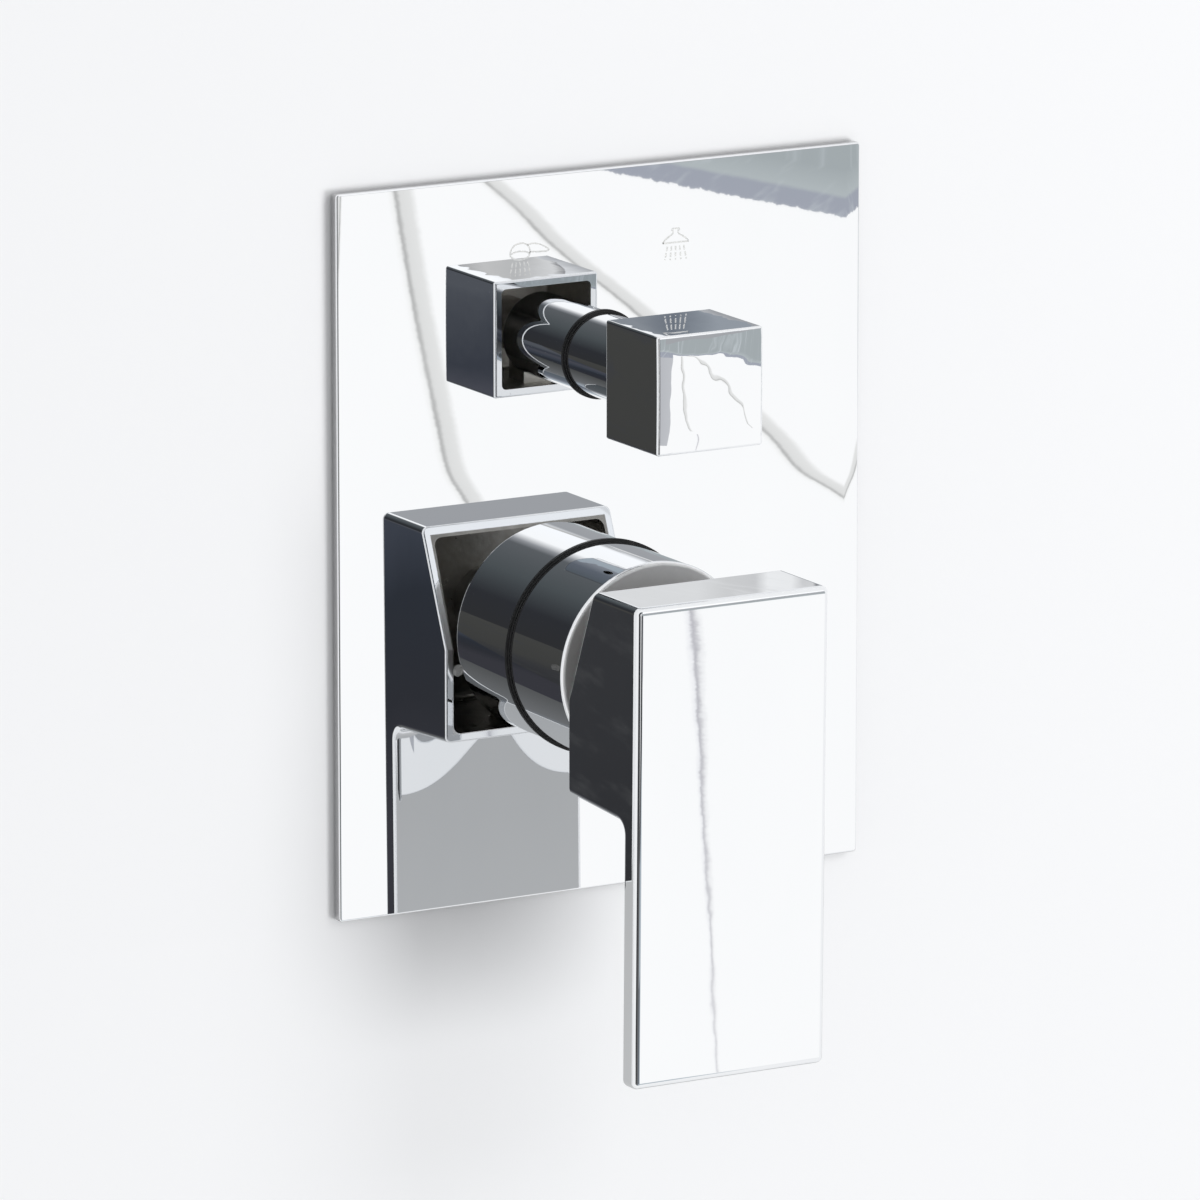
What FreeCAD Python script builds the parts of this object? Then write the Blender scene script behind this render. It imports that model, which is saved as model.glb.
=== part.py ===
import FreeCAD, Part
import math
import os

# Pressure balance shower valve with a two-way diverter, in millimetres.
# Origin: the lever axis in the finished wall face.
# +X is right for a person who faces the wall, +Y goes into the wall, +Z is up.

# Cover plate and its foam gasket
PLATE_WIDTH = 139.7
PLATE_HEIGHT = 171.45
PLATE_THICKNESS = 2.2
PLATE_EDGE_ROUND = 0.5
PLATE_CORNER_ROUND = 0.8
PLATE_CENTRE_RISE = 27.8
GASKET_THICKNESS = 1.8
GASKET_INSET = 5.0
GASKET_BAND = 7.0

# Rubber rings where the sleeves pass the plate
SEAL_WALL = 0.7
SEAL_LIP = 0.45
SEAL_FLANGE = 2.0
SEAL_FLANGE_GAP = 0.3

# Lever sleeve
SLEEVE_PROJECTION = 25.5
SLEEVE_WALL = 1.5
SLEEVE_FACE = 1.8
SLEEVE_HOLE_DIAMETER = 26.0
SLEEVE_RIM_ROUND = 1.0
SLEEVE_TAIL = 5.0
SLEEVE_CLEARANCE = 0.2
GRIP_RING_SECTION = 2.0
GRIP_RING_SETBACK = 3.2

# Lever
LEVER_WIDTH = 51.0
LEVER_TOP = 23.4
LEVER_DROP = 90.3
LEVER_LEAN = 1.6
LEVER_BLADE = 6.0
LEVER_EDGE_ROUND = 1.6
LEVER_RIM_ROUND = 0.5
LEVER_GAP = 3.8
LIFT_DEGREES = 22.0
TURN_DEGREES = 45.0
BLOCK_DEPTH = 31.9
BLOCK_DROP = 26.5
BLOCK_BEND_DROP = 4.0
BLOCK_SLANT_DEGREES = 23.0
BLOCK_FOOT_FALL = 1.5
BLOCK_FILLET = 3.0
BLOCK_WALL = 2.0
BLOCK_DRAFT_DEGREES = 3.0
BLOCK_HOLLOW_ROUND = 2.0
LEVER_BOSS_DIAMETER = 18.4
LEVER_BOSS_INSET = 0.6
LEVER_PILLAR_WALL = 1.8
LEVER_SCREW_DIAMETER = 5.0
LEVER_SCREW_LENGTH = 10.0
SCREW_CAP_DIAMETER = 8.0
SCREW_CAP_HEIGHT = 3.0
SCREW_CAP_RECESS = 0.3

# Lever spindle, its pin and the carrier that turns with it
SPINDLE_SQUARE = 9.0
SPINDLE_REACH = 15.7
SPINDLE_HEEL = 4.5
SPINDLE_ARM_DIAMETER = 4.4
SPINDLE_BALL_DIAMETER = 6.4
PIVOT_INSET = 10.9
PIN_DIAMETER = 3.0
PIN_END_GAP = 1.2
CARRIER_NECK_DIAMETER = 24.4
CARRIER_FLANGE = 3.0

# Mixing cartridge shell, nut and hot limit ring
CARTRIDGE_DIAMETER = 40.0
CARTRIDGE_CLEARANCE = 0.15
HOUSING_WALL = 1.9
HOUSING_TOP = 2.0
HOUSING_NECK_WALL = 1.7
NECK_WALL = 3.15
NUT_THREAD_STEP = 0.8
NUT_THREAD = 7.0
NUT_HEX_HEIGHT = 6.5
NUT_CORNER_GAP = 1.5
NUT_SEAT_GAP = 0.5
STOP_LIP = 0.9
STOP_SKIRT = 4.4
STOP_WALL = 2.4
STOP_GAP = 0.5
STOP_TAB_REACH = 1.9
STOP_TAB_HALF_DEGREES = 8.0
STOP_MARGIN_DEGREES = 3.0
FACE_GAP = 0.4

# Discs and foot of the cartridge
DRIVER_PLATE = 4.5
DRIVER_TONGUE = 1.8
DRIVER_TONGUE_WIDTH = 9.6
DRIVER_TONGUE_HEIGHT = 10.4
DRIVER_PEG_DIAMETER = 3.0
DRIVER_PEG_LENGTH = 1.5
DRIVER_PEG_SPREAD = 10.0
DRIVER_GAP = 0.2
BALL_INSET = 0.2
BALL_PLAY = 0.3
POCKET_FLOOR = 0.6
MOVING_DISC_DIAMETER = 26.0
MOVING_DISC = 5.0
MIX_CHAMBER_DIAMETER = 17.2
MIX_CHAMBER_DEPTH = 2.5
FIXED_DISC = 5.0
FIXED_DISC_GAP = 0.6
BASE_HEIGHT = 6.0
BASE_FLANGE = 1.5
PORT_RADIUS = 10.8
PORT_HALF_WIDTH = 2.0
PORT_HALF_DEGREES = 20.0
PORT_SWING_DEGREES = 35.0
FOOT_PORT_DIAMETER = 6.4
FOOT_PORT_DEPTH = 3.0
MIXED_PORT_DIAMETER = 7.2
MIXED_PORT_RISE = 6.0
BASE_SEAL_SECTION = 1.8
BASE_SEAL_DIAMETER = 9.8

# Pressure balance unit, along X below the mixing barrel
BALANCE_DROP = 40.0
BALANCE_SETBACK = 7.5
BALANCE_LENGTH = 58.0
SPOOL_DIAMETER = 16.0
SPOOL_TRAVEL = 2.5
SPOOL_WAIST_DIAMETER = 11.0
SPOOL_CENTRE_LAND = 8.0
SPOOL_BORE_DIAMETER = 6.0
SPOOL_BORE_DEPTH = 17.0
SPOOL_FEED_DIAMETER = 3.0
LINER_WALL = 2.9
LINER_SLOT = 5.0
LINER_WINDOW = 4.0
LINER_WINDOW_SPAN = 6.0
LINER_RECESS = 0.9
LINER_RING_SECTION = 1.8
SUPPLY_OFFSET = 20.0
CHAMBER_WALL = 3.2
CAP_THREAD_STEP = 1.2
CAP_THREAD = 8.0
CAP_HEX_HEIGHT = 6.0
CAP_RING_SECTION = 1.8

# Diverter, above the lever
DIVERTER_RISE = 69.6
DIVERTER_SLEEVE_PROJECTION = 29.7
DIVERTER_SLEEVE_WALL = 1.3
DIVERTER_RIM_ROUND = 0.4
HEADPART_FRONT = 6.6
HEADPART_NECK_DIAMETER = 16.8
HEADPART_NECK = 26.6
HEADPART_HEX = 4.0
HEADPART_HEX_STEP = 2.6
HEADPART_THREAD = 6.0
HEADPART_THREAD_DIAMETER = 26.0
HEADPART_CAGE = 10.0
HEADPART_CAGE_WALL = 1.6
HEADPART_WINDOW = 3.0
HEADPART_WINDOW_WIDTH = 8.0
STEM_RING_SECTION = 1.6
STEM_RING_SETBACK = 8.0
HEAD_RING_SECTION = 1.6
DIVERTER_DISC_DIAMETER = 14.8
DIVERTER_DISC = 4.0
DIVERTER_SEAT = 3.0
DIVERTER_SEAT_PROUD = 0.4
DIVERTER_PORT_DIAMETER = 5.8
DIVERTER_PORT_OFFSET = 3.9
DIVERTER_NOTCH_HALF_DEGREES = 75.0
DIVERTER_NOTCH_INNER = 2.0
DIVERTER_SHAFT_DIAMETER = 8.0
DIVERTER_SQUARE = 5.6
DIVERTER_FLANGE = 3.4
DIVERTER_TONGUE = 1.5
DIVERTER_TONGUE_WIDTH = 3.0
DIVERTER_TONGUE_LENGTH = 10.0
STEM_O_RING_SECTION = 1.4
STEM_O_RING_SETBACK = 6.0
CIRCLIP_THICKNESS = 0.8
CIRCLIP_DIAMETER = 11.0
CIRCLIP_GROOVE = 0.7
CIRCLIP_MOUTH_DEGREES = 25.0

# Knob
KNOB_SIZE = 27.8
KNOB_DEPTH = 24.4
KNOB_OVERLAP = 3.5
KNOB_EDGE_ROUND = 0.6
KNOB_CROWN_RADIUS = 450.0
KNOB_WALL = 1.9
KNOB_FRONT_WALL = 4.0
KNOB_DRAFT_DEGREES = 1.0
KNOB_HOLLOW_ROUND = 1.2
KNOB_BOSS_DIAMETER = 12.4
KNOB_BOSS_INSET = 1.0
KNOB_PILLAR_WALL = 1.6
KNOB_SOCKET_DEPTH = 16.0
KNOB_SCREW_DIAMETER = 4.0
KNOB_SCREW_LENGTH = 6.0

# Body casting and its pipe ends
BARREL_WALL = 6.5
BARREL_SHOULDER_GAP = 1.5
BARREL_REAR_DIAMETER = 40.0
BARREL_FLOOR = 3.0
BARREL_TAPER = 9.0
PASSAGE_COVER = 2.2
RISER_BORE_DIAMETER = 11.0
RISER_WALL = 4.0
PIPE_SETBACK = 11.5
PIPE_BORE_DIAMETER = 12.0
PIPE_WALL = 3.5
PIPE_THREAD_DIAMETER = 21.34
PIPE_THREAD = 16.0
COLLAR_FLATS = 24.0
COLLAR_WIDTH = 6.0
INLET_REACH = 50.0
LEFT_OUTLET_REACH = 46.0
LEFT_OUTLET_DROP = 6.5
TOP_OUTLET_REACH = 34.0
TOP_BORE_START = 2.5
SUPPLY_BORE_DIAMETER = 10.0
DIVERTER_BARREL_WALL = 4.0
DIVERTER_CHAMBER_STEP = 0.6
DIVERTER_REAR_DIAMETER = 26.0
DIVERTER_REAR_COVER = 11.0
REAR_COVER = 13.0
RIB_WIDTH = 14.0
CAST_ROUND = 1.5

# Bracket that fixes the body to the wall studs
BRACKET_WIDTH = 120.0
BRACKET_HEIGHT = 164.0
BRACKET_THICKNESS = 2.5
BRACKET_CENTRE_RISE = 22.0
BRACKET_CORNER_ROUND = 8.0
BRACKET_WINDOW_WIDTH = 20.0
BRACKET_WINDOW_HEIGHT = 96.0
BRACKET_WINDOW_OFFSET = 36.0
BRACKET_SCREW_DIAMETER = 5.0
BRACKET_SCREW_HEAD = 10.0
BRACKET_SCREW_LENGTH = 11.0
BRACKET_SCREW_RISE = 13.0
RIB_SCREW_RISE = 45.0
STUD_SPACING_X = 102.0
STUD_SPACING_Z = 140.0
STUD_HOLE_DIAMETER = 5.5

# Clearances
RUNNING_CLEARANCE = 0.1
SHAFT_CLEARANCE = 0.05
SLIDE_CLEARANCE = 0.15
FIT_CLEARANCE = 0.02
SOCKET_CLEARANCE = 0.1
LOOSE_GAP = 0.3
OVERCUT = 1.0

# Depths along Y, from the wall outwards and then back into the wall
plate_back = -GASKET_THICKNESS
plate_front = plate_back - PLATE_THICKNESS
sleeve_front = plate_front - SLEEVE_PROJECTION
sleeve_inside = sleeve_front + SLEEVE_FACE
stop_front = sleeve_inside + FACE_GAP
neck_front = stop_front + STOP_LIP
stop_back = neck_front + STOP_SKIRT
nut_front = stop_back + STOP_GAP
nut_seat = nut_front + NUT_HEX_HEIGHT
barrel_front = nut_seat + NUT_SEAT_GAP
shoulder = nut_seat + NUT_THREAD
cavity_front = shoulder + HOUSING_TOP
flange_front = cavity_front + RUNNING_CLEARANCE
flange_back = flange_front + CARRIER_FLANGE
driver_front = flange_back + DRIVER_GAP
driver_back = driver_front + DRIVER_PLATE
moving_back = driver_back + MOVING_DISC
fixed_back = moving_back + FIXED_DISC
floor = fixed_back + BASE_HEIGHT
housing_back = floor - BASE_FLANGE
pivot_y = neck_front + PIVOT_INSET
ball_y = driver_front + BALL_INSET
barrel_shoulder = SLEEVE_TAIL + BARREL_SHOULDER_GAP
riser_y = floor + PASSAGE_COVER + RISER_BORE_DIAMETER / 2
pipe_y = riser_y + PIPE_SETBACK
balance_y = riser_y + BALANCE_SETBACK
body_back = pipe_y + REAR_COVER
bracket_back = body_back + BRACKET_THICKNESS

# Radii of what nests about the lever axis
cartridge_r = CARTRIDGE_DIAMETER / 2
bore_r = cartridge_r + CARTRIDGE_CLEARANCE
nut_thread_r = bore_r + NUT_THREAD_STEP
neck_r = bore_r + NECK_WALL
sleeve_in_r = neck_r + SLEEVE_CLEARANCE
sleeve_r = sleeve_in_r + SLEEVE_WALL
housing_in_r = cartridge_r - HOUSING_WALL
carrier_neck_r = CARRIER_NECK_DIAMETER / 2
housing_neck_in_r = carrier_neck_r + RUNNING_CLEARANCE
housing_neck_r = housing_neck_in_r + HOUSING_NECK_WALL
stop_in_r = housing_neck_r + RUNNING_CLEARANCE
tab_in_r = carrier_neck_r - STOP_TAB_REACH
barrel_r = bore_r + BARREL_WALL

# Motion of the lever spindle and the disc it drives
arm_length = ball_y - pivot_y
disc_travel = arm_length * math.radians(LIFT_DEGREES)
disc_rise = disc_travel / 2

# Lever profile
block_back = sleeve_front - LEVER_GAP
lever_front = block_back - BLOCK_DEPTH
block_slant = (LEVER_TOP + BLOCK_BEND_DROP) * math.tan(math.radians(BLOCK_SLANT_DEGREES))
spindle_front = block_back - SPINDLE_REACH
lever_screw_y = block_back - SPINDLE_REACH / 2

# Ports of the mixing cartridge in its foot, about the disc's closed place
port_x = PORT_RADIUS * math.sin(math.radians(PORT_SWING_DEGREES))
port_z = disc_rise - PORT_RADIUS * math.cos(math.radians(PORT_SWING_DEGREES))

# Pressure balance unit
balance_z = -BALANCE_DROP
balance_end = BALANCE_LENGTH / 2
spool_r = SPOOL_DIAMETER / 2
liner_in_r = spool_r + SHAFT_CLEARANCE
liner_r = liner_in_r + LINER_WALL
chamber_r = liner_r + RUNNING_CLEARANCE
cap_thread_r = chamber_r + CAP_THREAD_STEP
chamber_out_r = chamber_r + CHAMBER_WALL
cap_seat = balance_end + CAP_THREAD

# Diverter
stem_z = DIVERTER_RISE
stem_neck_r = HEADPART_NECK_DIAMETER / 2
stem_sleeve_in_r = stem_neck_r + SLEEVE_CLEARANCE
stem_sleeve_r = stem_sleeve_in_r + DIVERTER_SLEEVE_WALL
stem_sleeve_front = plate_front - DIVERTER_SLEEVE_PROJECTION
stem_shaft_r = DIVERTER_SHAFT_DIAMETER / 2
stem_bore_r = stem_shaft_r + RUNNING_CLEARANCE
head_neck_front = HEADPART_FRONT - HEADPART_NECK
head_seat = HEADPART_FRONT + HEADPART_HEX
head_thread_r = HEADPART_THREAD_DIAMETER / 2
cage_front = head_seat + HEADPART_THREAD
cage_back = cage_front + HEADPART_CAGE
diverter_floor = cage_back + DIVERTER_SEAT_PROUD
diverter_disc_r = DIVERTER_DISC_DIAMETER / 2
cage_in_r = diverter_disc_r + SLIDE_CLEARANCE
cage_r = cage_in_r + HEADPART_CAGE_WALL
diverter_chamber_r = head_thread_r - DIVERTER_CHAMBER_STEP
diverter_barrel_r = head_thread_r + DIVERTER_BARREL_WALL
stem_fixed_back = diverter_floor - DIVERTER_SEAT
stem_fixed_front = stem_fixed_back - DIVERTER_DISC
stem_moving_front = stem_fixed_front - DIVERTER_DISC
stem_flange_front = stem_moving_front - DIVERTER_FLANGE
cage_cavity_front = stem_flange_front - RUNNING_CLEARANCE
knob_back = stem_sleeve_front + KNOB_OVERLAP
knob_front = knob_back - KNOB_DEPTH
stem_front = knob_back - KNOB_SOCKET_DEPTH
knob_screw_y = (knob_back + stem_front) / 2
circlip_back = head_neck_front - RUNNING_CLEARANCE
circlip_front = circlip_back - CIRCLIP_THICKNESS
left_outlet_z = stem_z - LEFT_OUTLET_DROP
pipe_r = PIPE_BORE_DIAMETER / 2 + PIPE_WALL
collar_r = COLLAR_FLATS / 2 / math.cos(math.pi / 6)


def vec(x, y, z):
    return FreeCAD.Vector(x, y, z)


def rod_x(radius, start, stop, y, z):
    return Part.makeCylinder(radius, stop - start, vec(start, y, z), vec(1, 0, 0))


def rod_y(radius, start, stop, x=0.0, z=0.0):
    return Part.makeCylinder(radius, stop - start, vec(x, start, z), vec(0, 1, 0))


def rod_z(radius, start, stop, x, y):
    return Part.makeCylinder(radius, stop - start, vec(x, y, start), vec(0, 0, 1))


def block(x0, x1, y0, y1, z0, z1):
    return Part.makeBox(x1 - x0, y1 - y0, z1 - z0, vec(x0, y0, z0))


def extruded(points, direction):
    outline = Part.makePolygon(points + points[:1])
    return Part.Face(outline).extrude(direction)


def turned_y(profile, z=0.0):
    """Solid turned about a line along Y, from corners given as (radius, y)."""
    corners = [vec(radius, y, z) for radius, y in profile]
    outline = Part.makePolygon(corners + corners[:1])
    return Part.Face(outline).revolve(vec(0, 0, z), vec(0, 1, 0), 360)


def turned_x(profile, y, z):
    """Solid turned about a line along X, from corners given as (radius, x)."""
    corners = [vec(x, y, z + radius) for radius, x in profile]
    outline = Part.makePolygon(corners + corners[:1])
    return Part.Face(outline).revolve(vec(0, y, z), vec(1, 0, 0), 360)


def tube_y(outer, inner, start, stop, x=0.0, z=0.0):
    hole = rod_y(inner, start - OVERCUT, stop + OVERCUT, x, z)
    return rod_y(outer, start, stop, x, z).cut(hole)


def tube_x(outer, inner, start, stop, y, z):
    hole = rod_x(inner, start - OVERCUT, stop + OVERCUT, y, z)
    return rod_x(outer, start, stop, y, z).cut(hole)


def hexagon(corner_radius, centre, along, side):
    """Six corners about a centre; along is the prism axis, side its first corner."""
    third = along.cross(side)
    turn = math.radians(60)
    return [
        centre + side * (corner_radius * math.cos(step * turn))
        + third * (corner_radius * math.sin(step * turn))
        for step in range(6)
    ]


def hex_y(corner_radius, start, stop, z=0.0):
    corners = hexagon(corner_radius, vec(0, start, z), vec(0, 1, 0), vec(1, 0, 0))
    return extruded(corners, vec(0, stop - start, 0))


def hex_x(corner_radius, start, stop, y, z):
    corners = hexagon(corner_radius, vec(start, y, z), vec(1, 0, 0), vec(0, 0, 1))
    return extruded(corners, vec(stop - start, 0, 0))


def hex_z(corner_radius, start, stop, x, y):
    corners = hexagon(corner_radius, vec(x, y, start), vec(0, 0, 1), vec(1, 0, 0))
    return extruded(corners, vec(0, 0, stop - start))


def ring_sector(inner, outer, start, stop, middle, half, z=0.0):
    """Piece of a ring about a line along Y; angles in degrees from +X towards +Z."""

    def spot(radius, degrees):
        angle = math.radians(degrees)
        return vec(radius * math.cos(angle), start, z + radius * math.sin(angle))

    first, last = middle - half, middle + half
    edges = [
        Part.Arc(spot(outer, first), spot(outer, middle), spot(outer, last)).toShape(),
        Part.LineSegment(spot(outer, last), spot(inner, last)).toShape(),
        Part.Arc(spot(inner, last), spot(inner, middle), spot(inner, first)).toShape(),
        Part.LineSegment(spot(inner, first), spot(outer, first)).toShape(),
    ]
    return Part.Face(Part.Wire(edges)).extrude(vec(0, stop - start, 0))


def o_ring_y(mean_radius, section, y, x=0.0, z=0.0):
    return Part.makeTorus(mean_radius, section / 2, vec(x, y, z), vec(0, 1, 0))


def o_ring_x(mean_radius, section, x, y, z):
    return Part.makeTorus(mean_radius, section / 2, vec(x, y, z), vec(1, 0, 0))


def edges_where(shape, test):
    return [edge for edge in shape.Edges if test(edge)]


def runs_along(edge, axis):
    """True for a straight edge along 'x', 'y' or 'z'."""
    if not isinstance(edge.Curve, (Part.Line, Part.LineSegment)):
        return False
    step = edge.Vertexes[-1].Point - edge.Vertexes[0].Point
    return abs(getattr(step, axis)) > 0.999 * step.Length


def all_vertices(edge, test):
    return all(test(vertex.Point) for vertex in edge.Vertexes)


def rims_y(shape, radius, places, z=0.0):
    """Round edges of a radius about a line along Y, at the given places along it."""
    return edges_where(shape, lambda e: all_vertices(
        e, lambda p: near(math.hypot(p.x, p.z - z), radius)
        and any(near(p.y, y) for y in places)))


def near(first, second):
    return abs(first - second) < 1e-6


def hollow_y(half_w, bottom, top, inner_end, open_end, draft_degrees, corner_round):
    """Drafted room in a casting, open towards +Y, with rounded corners and floor."""
    inset = (open_end - inner_end) * math.tan(math.radians(draft_degrees))

    def outline(y, step):
        x, low, high = half_w - step, bottom + step, top - step
        corners = [vec(-x, y, low), vec(x, y, low), vec(x, y, high), vec(-x, y, high)]
        return Part.makePolygon(corners + corners[:1])

    room = Part.makeLoft([outline(inner_end, inset), outline(open_end, 0)], True, True)
    rounded = edges_where(room, lambda e: any(near(v.Point.y, inner_end) for v in e.Vertexes))
    return room.makeFillet(corner_round, rounded)


def fused(first, *others):
    return first.fuse(list(others)).removeSplitter()


# Trim in front of the wall


def cover_plate():
    half_w, half_h = PLATE_WIDTH / 2, PLATE_HEIGHT / 2
    plate = block(-half_w, half_w, plate_front, plate_back,
                  PLATE_CENTRE_RISE - half_h, PLATE_CENTRE_RISE + half_h)
    plate = plate.makeFillet(PLATE_CORNER_ROUND, edges_where(plate, lambda e: runs_along(e, "y")))
    rim = edges_where(plate, lambda e: all_vertices(e, lambda p: near(p.y, plate_front)))
    plate = plate.makeFillet(PLATE_EDGE_ROUND, rim)
    start, stop = plate_front - OVERCUT, plate_back + OVERCUT
    lever_hole = rod_y(sleeve_r + SEAL_WALL, start, stop)
    stem_hole = rod_y(stem_sleeve_r + SEAL_WALL, start, stop, z=stem_z)
    return plate.cut(lever_hole).cut(stem_hole)


def plate_gasket():
    half_w, half_h = PLATE_WIDTH / 2 - GASKET_INSET, PLATE_HEIGHT / 2 - GASKET_INSET
    outer = block(-half_w, half_w, plate_back, 0,
                  PLATE_CENTRE_RISE - half_h, PLATE_CENTRE_RISE + half_h)
    half_w, half_h = half_w - GASKET_BAND, half_h - GASKET_BAND
    inner = block(-half_w, half_w, plate_back - OVERCUT, OVERCUT,
                  PLATE_CENTRE_RISE - half_h, PLATE_CENTRE_RISE + half_h)
    return outer.cut(inner)


def sleeve_ring(inner, z):
    """Rubber ring in a plate hole, with a lip in front and a flange behind."""
    wall = inner + SEAL_WALL
    flange = wall + SEAL_FLANGE
    flange_end = -SEAL_FLANGE_GAP
    profile = [
        (inner, plate_front - SEAL_LIP),
        (wall, plate_front - SEAL_LIP),
        (wall, plate_back),
        (flange, plate_back),
        (flange, flange_end),
        (inner, flange_end),
    ]
    return turned_y(profile, z)


def lever_sleeve():
    hole_r = SLEEVE_HOLE_DIAMETER / 2
    sleeve = turned_y([
        (hole_r, sleeve_front),
        (sleeve_r, sleeve_front),
        (sleeve_r, SLEEVE_TAIL),
        (sleeve_in_r, SLEEVE_TAIL),
        (sleeve_in_r, sleeve_inside),
        (hole_r, sleeve_inside),
    ])
    return sleeve.makeFillet(SLEEVE_RIM_ROUND, rims_y(sleeve, sleeve_r, [sleeve_front]))


def diverter_sleeve():
    tail = HEADPART_FRONT - SEAL_FLANGE_GAP
    sleeve = tube_y(stem_sleeve_r, stem_sleeve_in_r, stem_sleeve_front, tail, z=stem_z)
    rim = rims_y(sleeve, stem_sleeve_r, [stem_sleeve_front], stem_z)
    return sleeve.makeFillet(DIVERTER_RIM_ROUND, rim)


def sleeve_grip_ring():
    return o_ring_y(sleeve_in_r - GRIP_RING_SECTION / 2, GRIP_RING_SECTION,
                    barrel_shoulder - GRIP_RING_SETBACK)


def stem_grip_ring():
    return o_ring_y(stem_sleeve_in_r - STEM_RING_SECTION / 2, STEM_RING_SECTION,
                    HEADPART_FRONT - STEM_RING_SETBACK, z=stem_z)


# Lever and its fixing


def lever_front_at(z):
    """Front of the lever, which leans back a little towards its lower end."""
    return lever_front + LEVER_LEAN * (LEVER_TOP - z) / (LEVER_TOP + LEVER_DROP)


def block_foot_at(y):
    """Underside of the lever's block, which falls a little towards the front."""
    foot_depth = block_back - (lever_front + LEVER_BLADE)
    return -BLOCK_DROP - BLOCK_FOOT_FALL * (block_back - y) / foot_depth


def lever_outline(x):
    blade_foot = -BLOCK_DROP - BLOCK_FOOT_FALL
    return [
        vec(x, lever_front, LEVER_TOP),
        vec(x, lever_front_at(-LEVER_DROP), -LEVER_DROP),
        vec(x, lever_front_at(-LEVER_DROP) + LEVER_BLADE, -LEVER_DROP),
        vec(x, lever_front_at(blade_foot) + LEVER_BLADE, blade_foot),
        vec(x, block_back, -BLOCK_DROP),
        vec(x, block_back, -BLOCK_BEND_DROP),
        vec(x, block_back - block_slant, LEVER_TOP),
    ]


def lever_handle():
    half = LEVER_WIDTH / 2
    lever = extruded(lever_outline(-half), vec(LEVER_WIDTH, 0, 0))
    crook = lever_outline(-half)[3]
    inner_edge = edges_where(lever, lambda e: runs_along(e, "x") and all_vertices(
        e, lambda p: near(p.y, crook.y) and near(p.z, crook.z)))
    lever = lever.makeFillet(BLOCK_FILLET, inner_edge)
    across = edges_where(lever, lambda e: runs_along(e, "x") and not all_vertices(e, on_block_back)
                         and not all_vertices(e, lambda p: math.hypot(
                             p.y - crook.y, p.z - crook.z) < 2 * BLOCK_FILLET))
    sides = edges_where(lever, lambda e: all_vertices(e, lambda p: near(abs(p.x), half))
                        and not runs_along(e, "x") and not all_vertices(e, on_block_back))
    lever = lever.makeFillet(LEVER_EDGE_ROUND, across + sides)
    rim = edges_where(lever, lambda e: all_vertices(e, on_block_back))
    lever = lever.makeFillet(LEVER_RIM_ROUND, rim)
    return lever.cut(block_hollow(half)).cut(lever_fixing_holes())


def on_block_back(point):
    """True on the back of the lever's block, which slants forward above its bend."""
    rise = max(point.z + BLOCK_BEND_DROP, 0)
    return near(point.y, block_back - rise * math.tan(math.radians(BLOCK_SLANT_DEGREES)))


def block_hollow(half):
    """Room behind the lever's front, less the boss for the spindle and the pillar for its screw."""
    inner_end = lever_front + LEVER_BLADE
    open_end = block_back + OVERCUT
    room = hollow_y(half - BLOCK_WALL, -BLOCK_DROP + BLOCK_WALL, LEVER_TOP - BLOCK_WALL,
                    inner_end, open_end, BLOCK_DRAFT_DEGREES, BLOCK_HOLLOW_ROUND)
    boss = rod_y(LEVER_BOSS_DIAMETER / 2, inner_end - OVERCUT, block_back - LEVER_BOSS_INSET)
    pillar_half = SCREW_CAP_DIAMETER / 2 + LEVER_PILLAR_WALL
    pillar = block(-pillar_half, pillar_half, lever_screw_y - pillar_half,
                   lever_screw_y + pillar_half, -BLOCK_DROP, 0)
    return room.cut(boss).cut(pillar)


def lever_fixing_holes():
    socket_half = SPINDLE_SQUARE / 2 + SOCKET_CLEARANCE
    socket = block(-socket_half, socket_half, spindle_front - LOOSE_GAP, block_back + OVERCUT,
                   -socket_half, socket_half)
    below = block_foot_at(lever_front) - OVERCUT
    screw_hole = rod_z(LEVER_SCREW_DIAMETER / 2 + FIT_CLEARANCE, below, 0, 0, lever_screw_y)
    cap_top = block_foot_at(lever_screw_y) + SCREW_CAP_RECESS + SCREW_CAP_HEIGHT
    cap_hole = rod_z(SCREW_CAP_DIAMETER / 2 + FIT_CLEARANCE, below, cap_top, 0, lever_screw_y)
    return [socket, screw_hole, cap_hole]


def lever_set_screw():
    top = -SPINDLE_SQUARE / 2
    return rod_z(LEVER_SCREW_DIAMETER / 2, top - LEVER_SCREW_LENGTH, top, 0, lever_screw_y)


def lever_screw_cap():
    foot = block_foot_at(lever_screw_y) + SCREW_CAP_RECESS
    return rod_z(SCREW_CAP_DIAMETER / 2, foot, foot + SCREW_CAP_HEIGHT, 0, lever_screw_y)


def lever_spindle():
    half = SPINDLE_SQUARE / 2
    heel = pivot_y + SPINDLE_HEEL
    square = block(-half, half, spindle_front, heel, -half, half)
    arm = rod_y(SPINDLE_ARM_DIAMETER / 2, heel - OVERCUT, ball_y)
    ball = Part.makeSphere(SPINDLE_BALL_DIAMETER / 2, vec(0, ball_y, 0))
    hole_r = PIN_DIAMETER / 2 + SHAFT_CLEARANCE
    pin_hole = rod_x(hole_r, -SPINDLE_SQUARE, SPINDLE_SQUARE, pivot_y, 0)
    return fused(square, arm, ball).cut(pin_hole)


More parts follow.
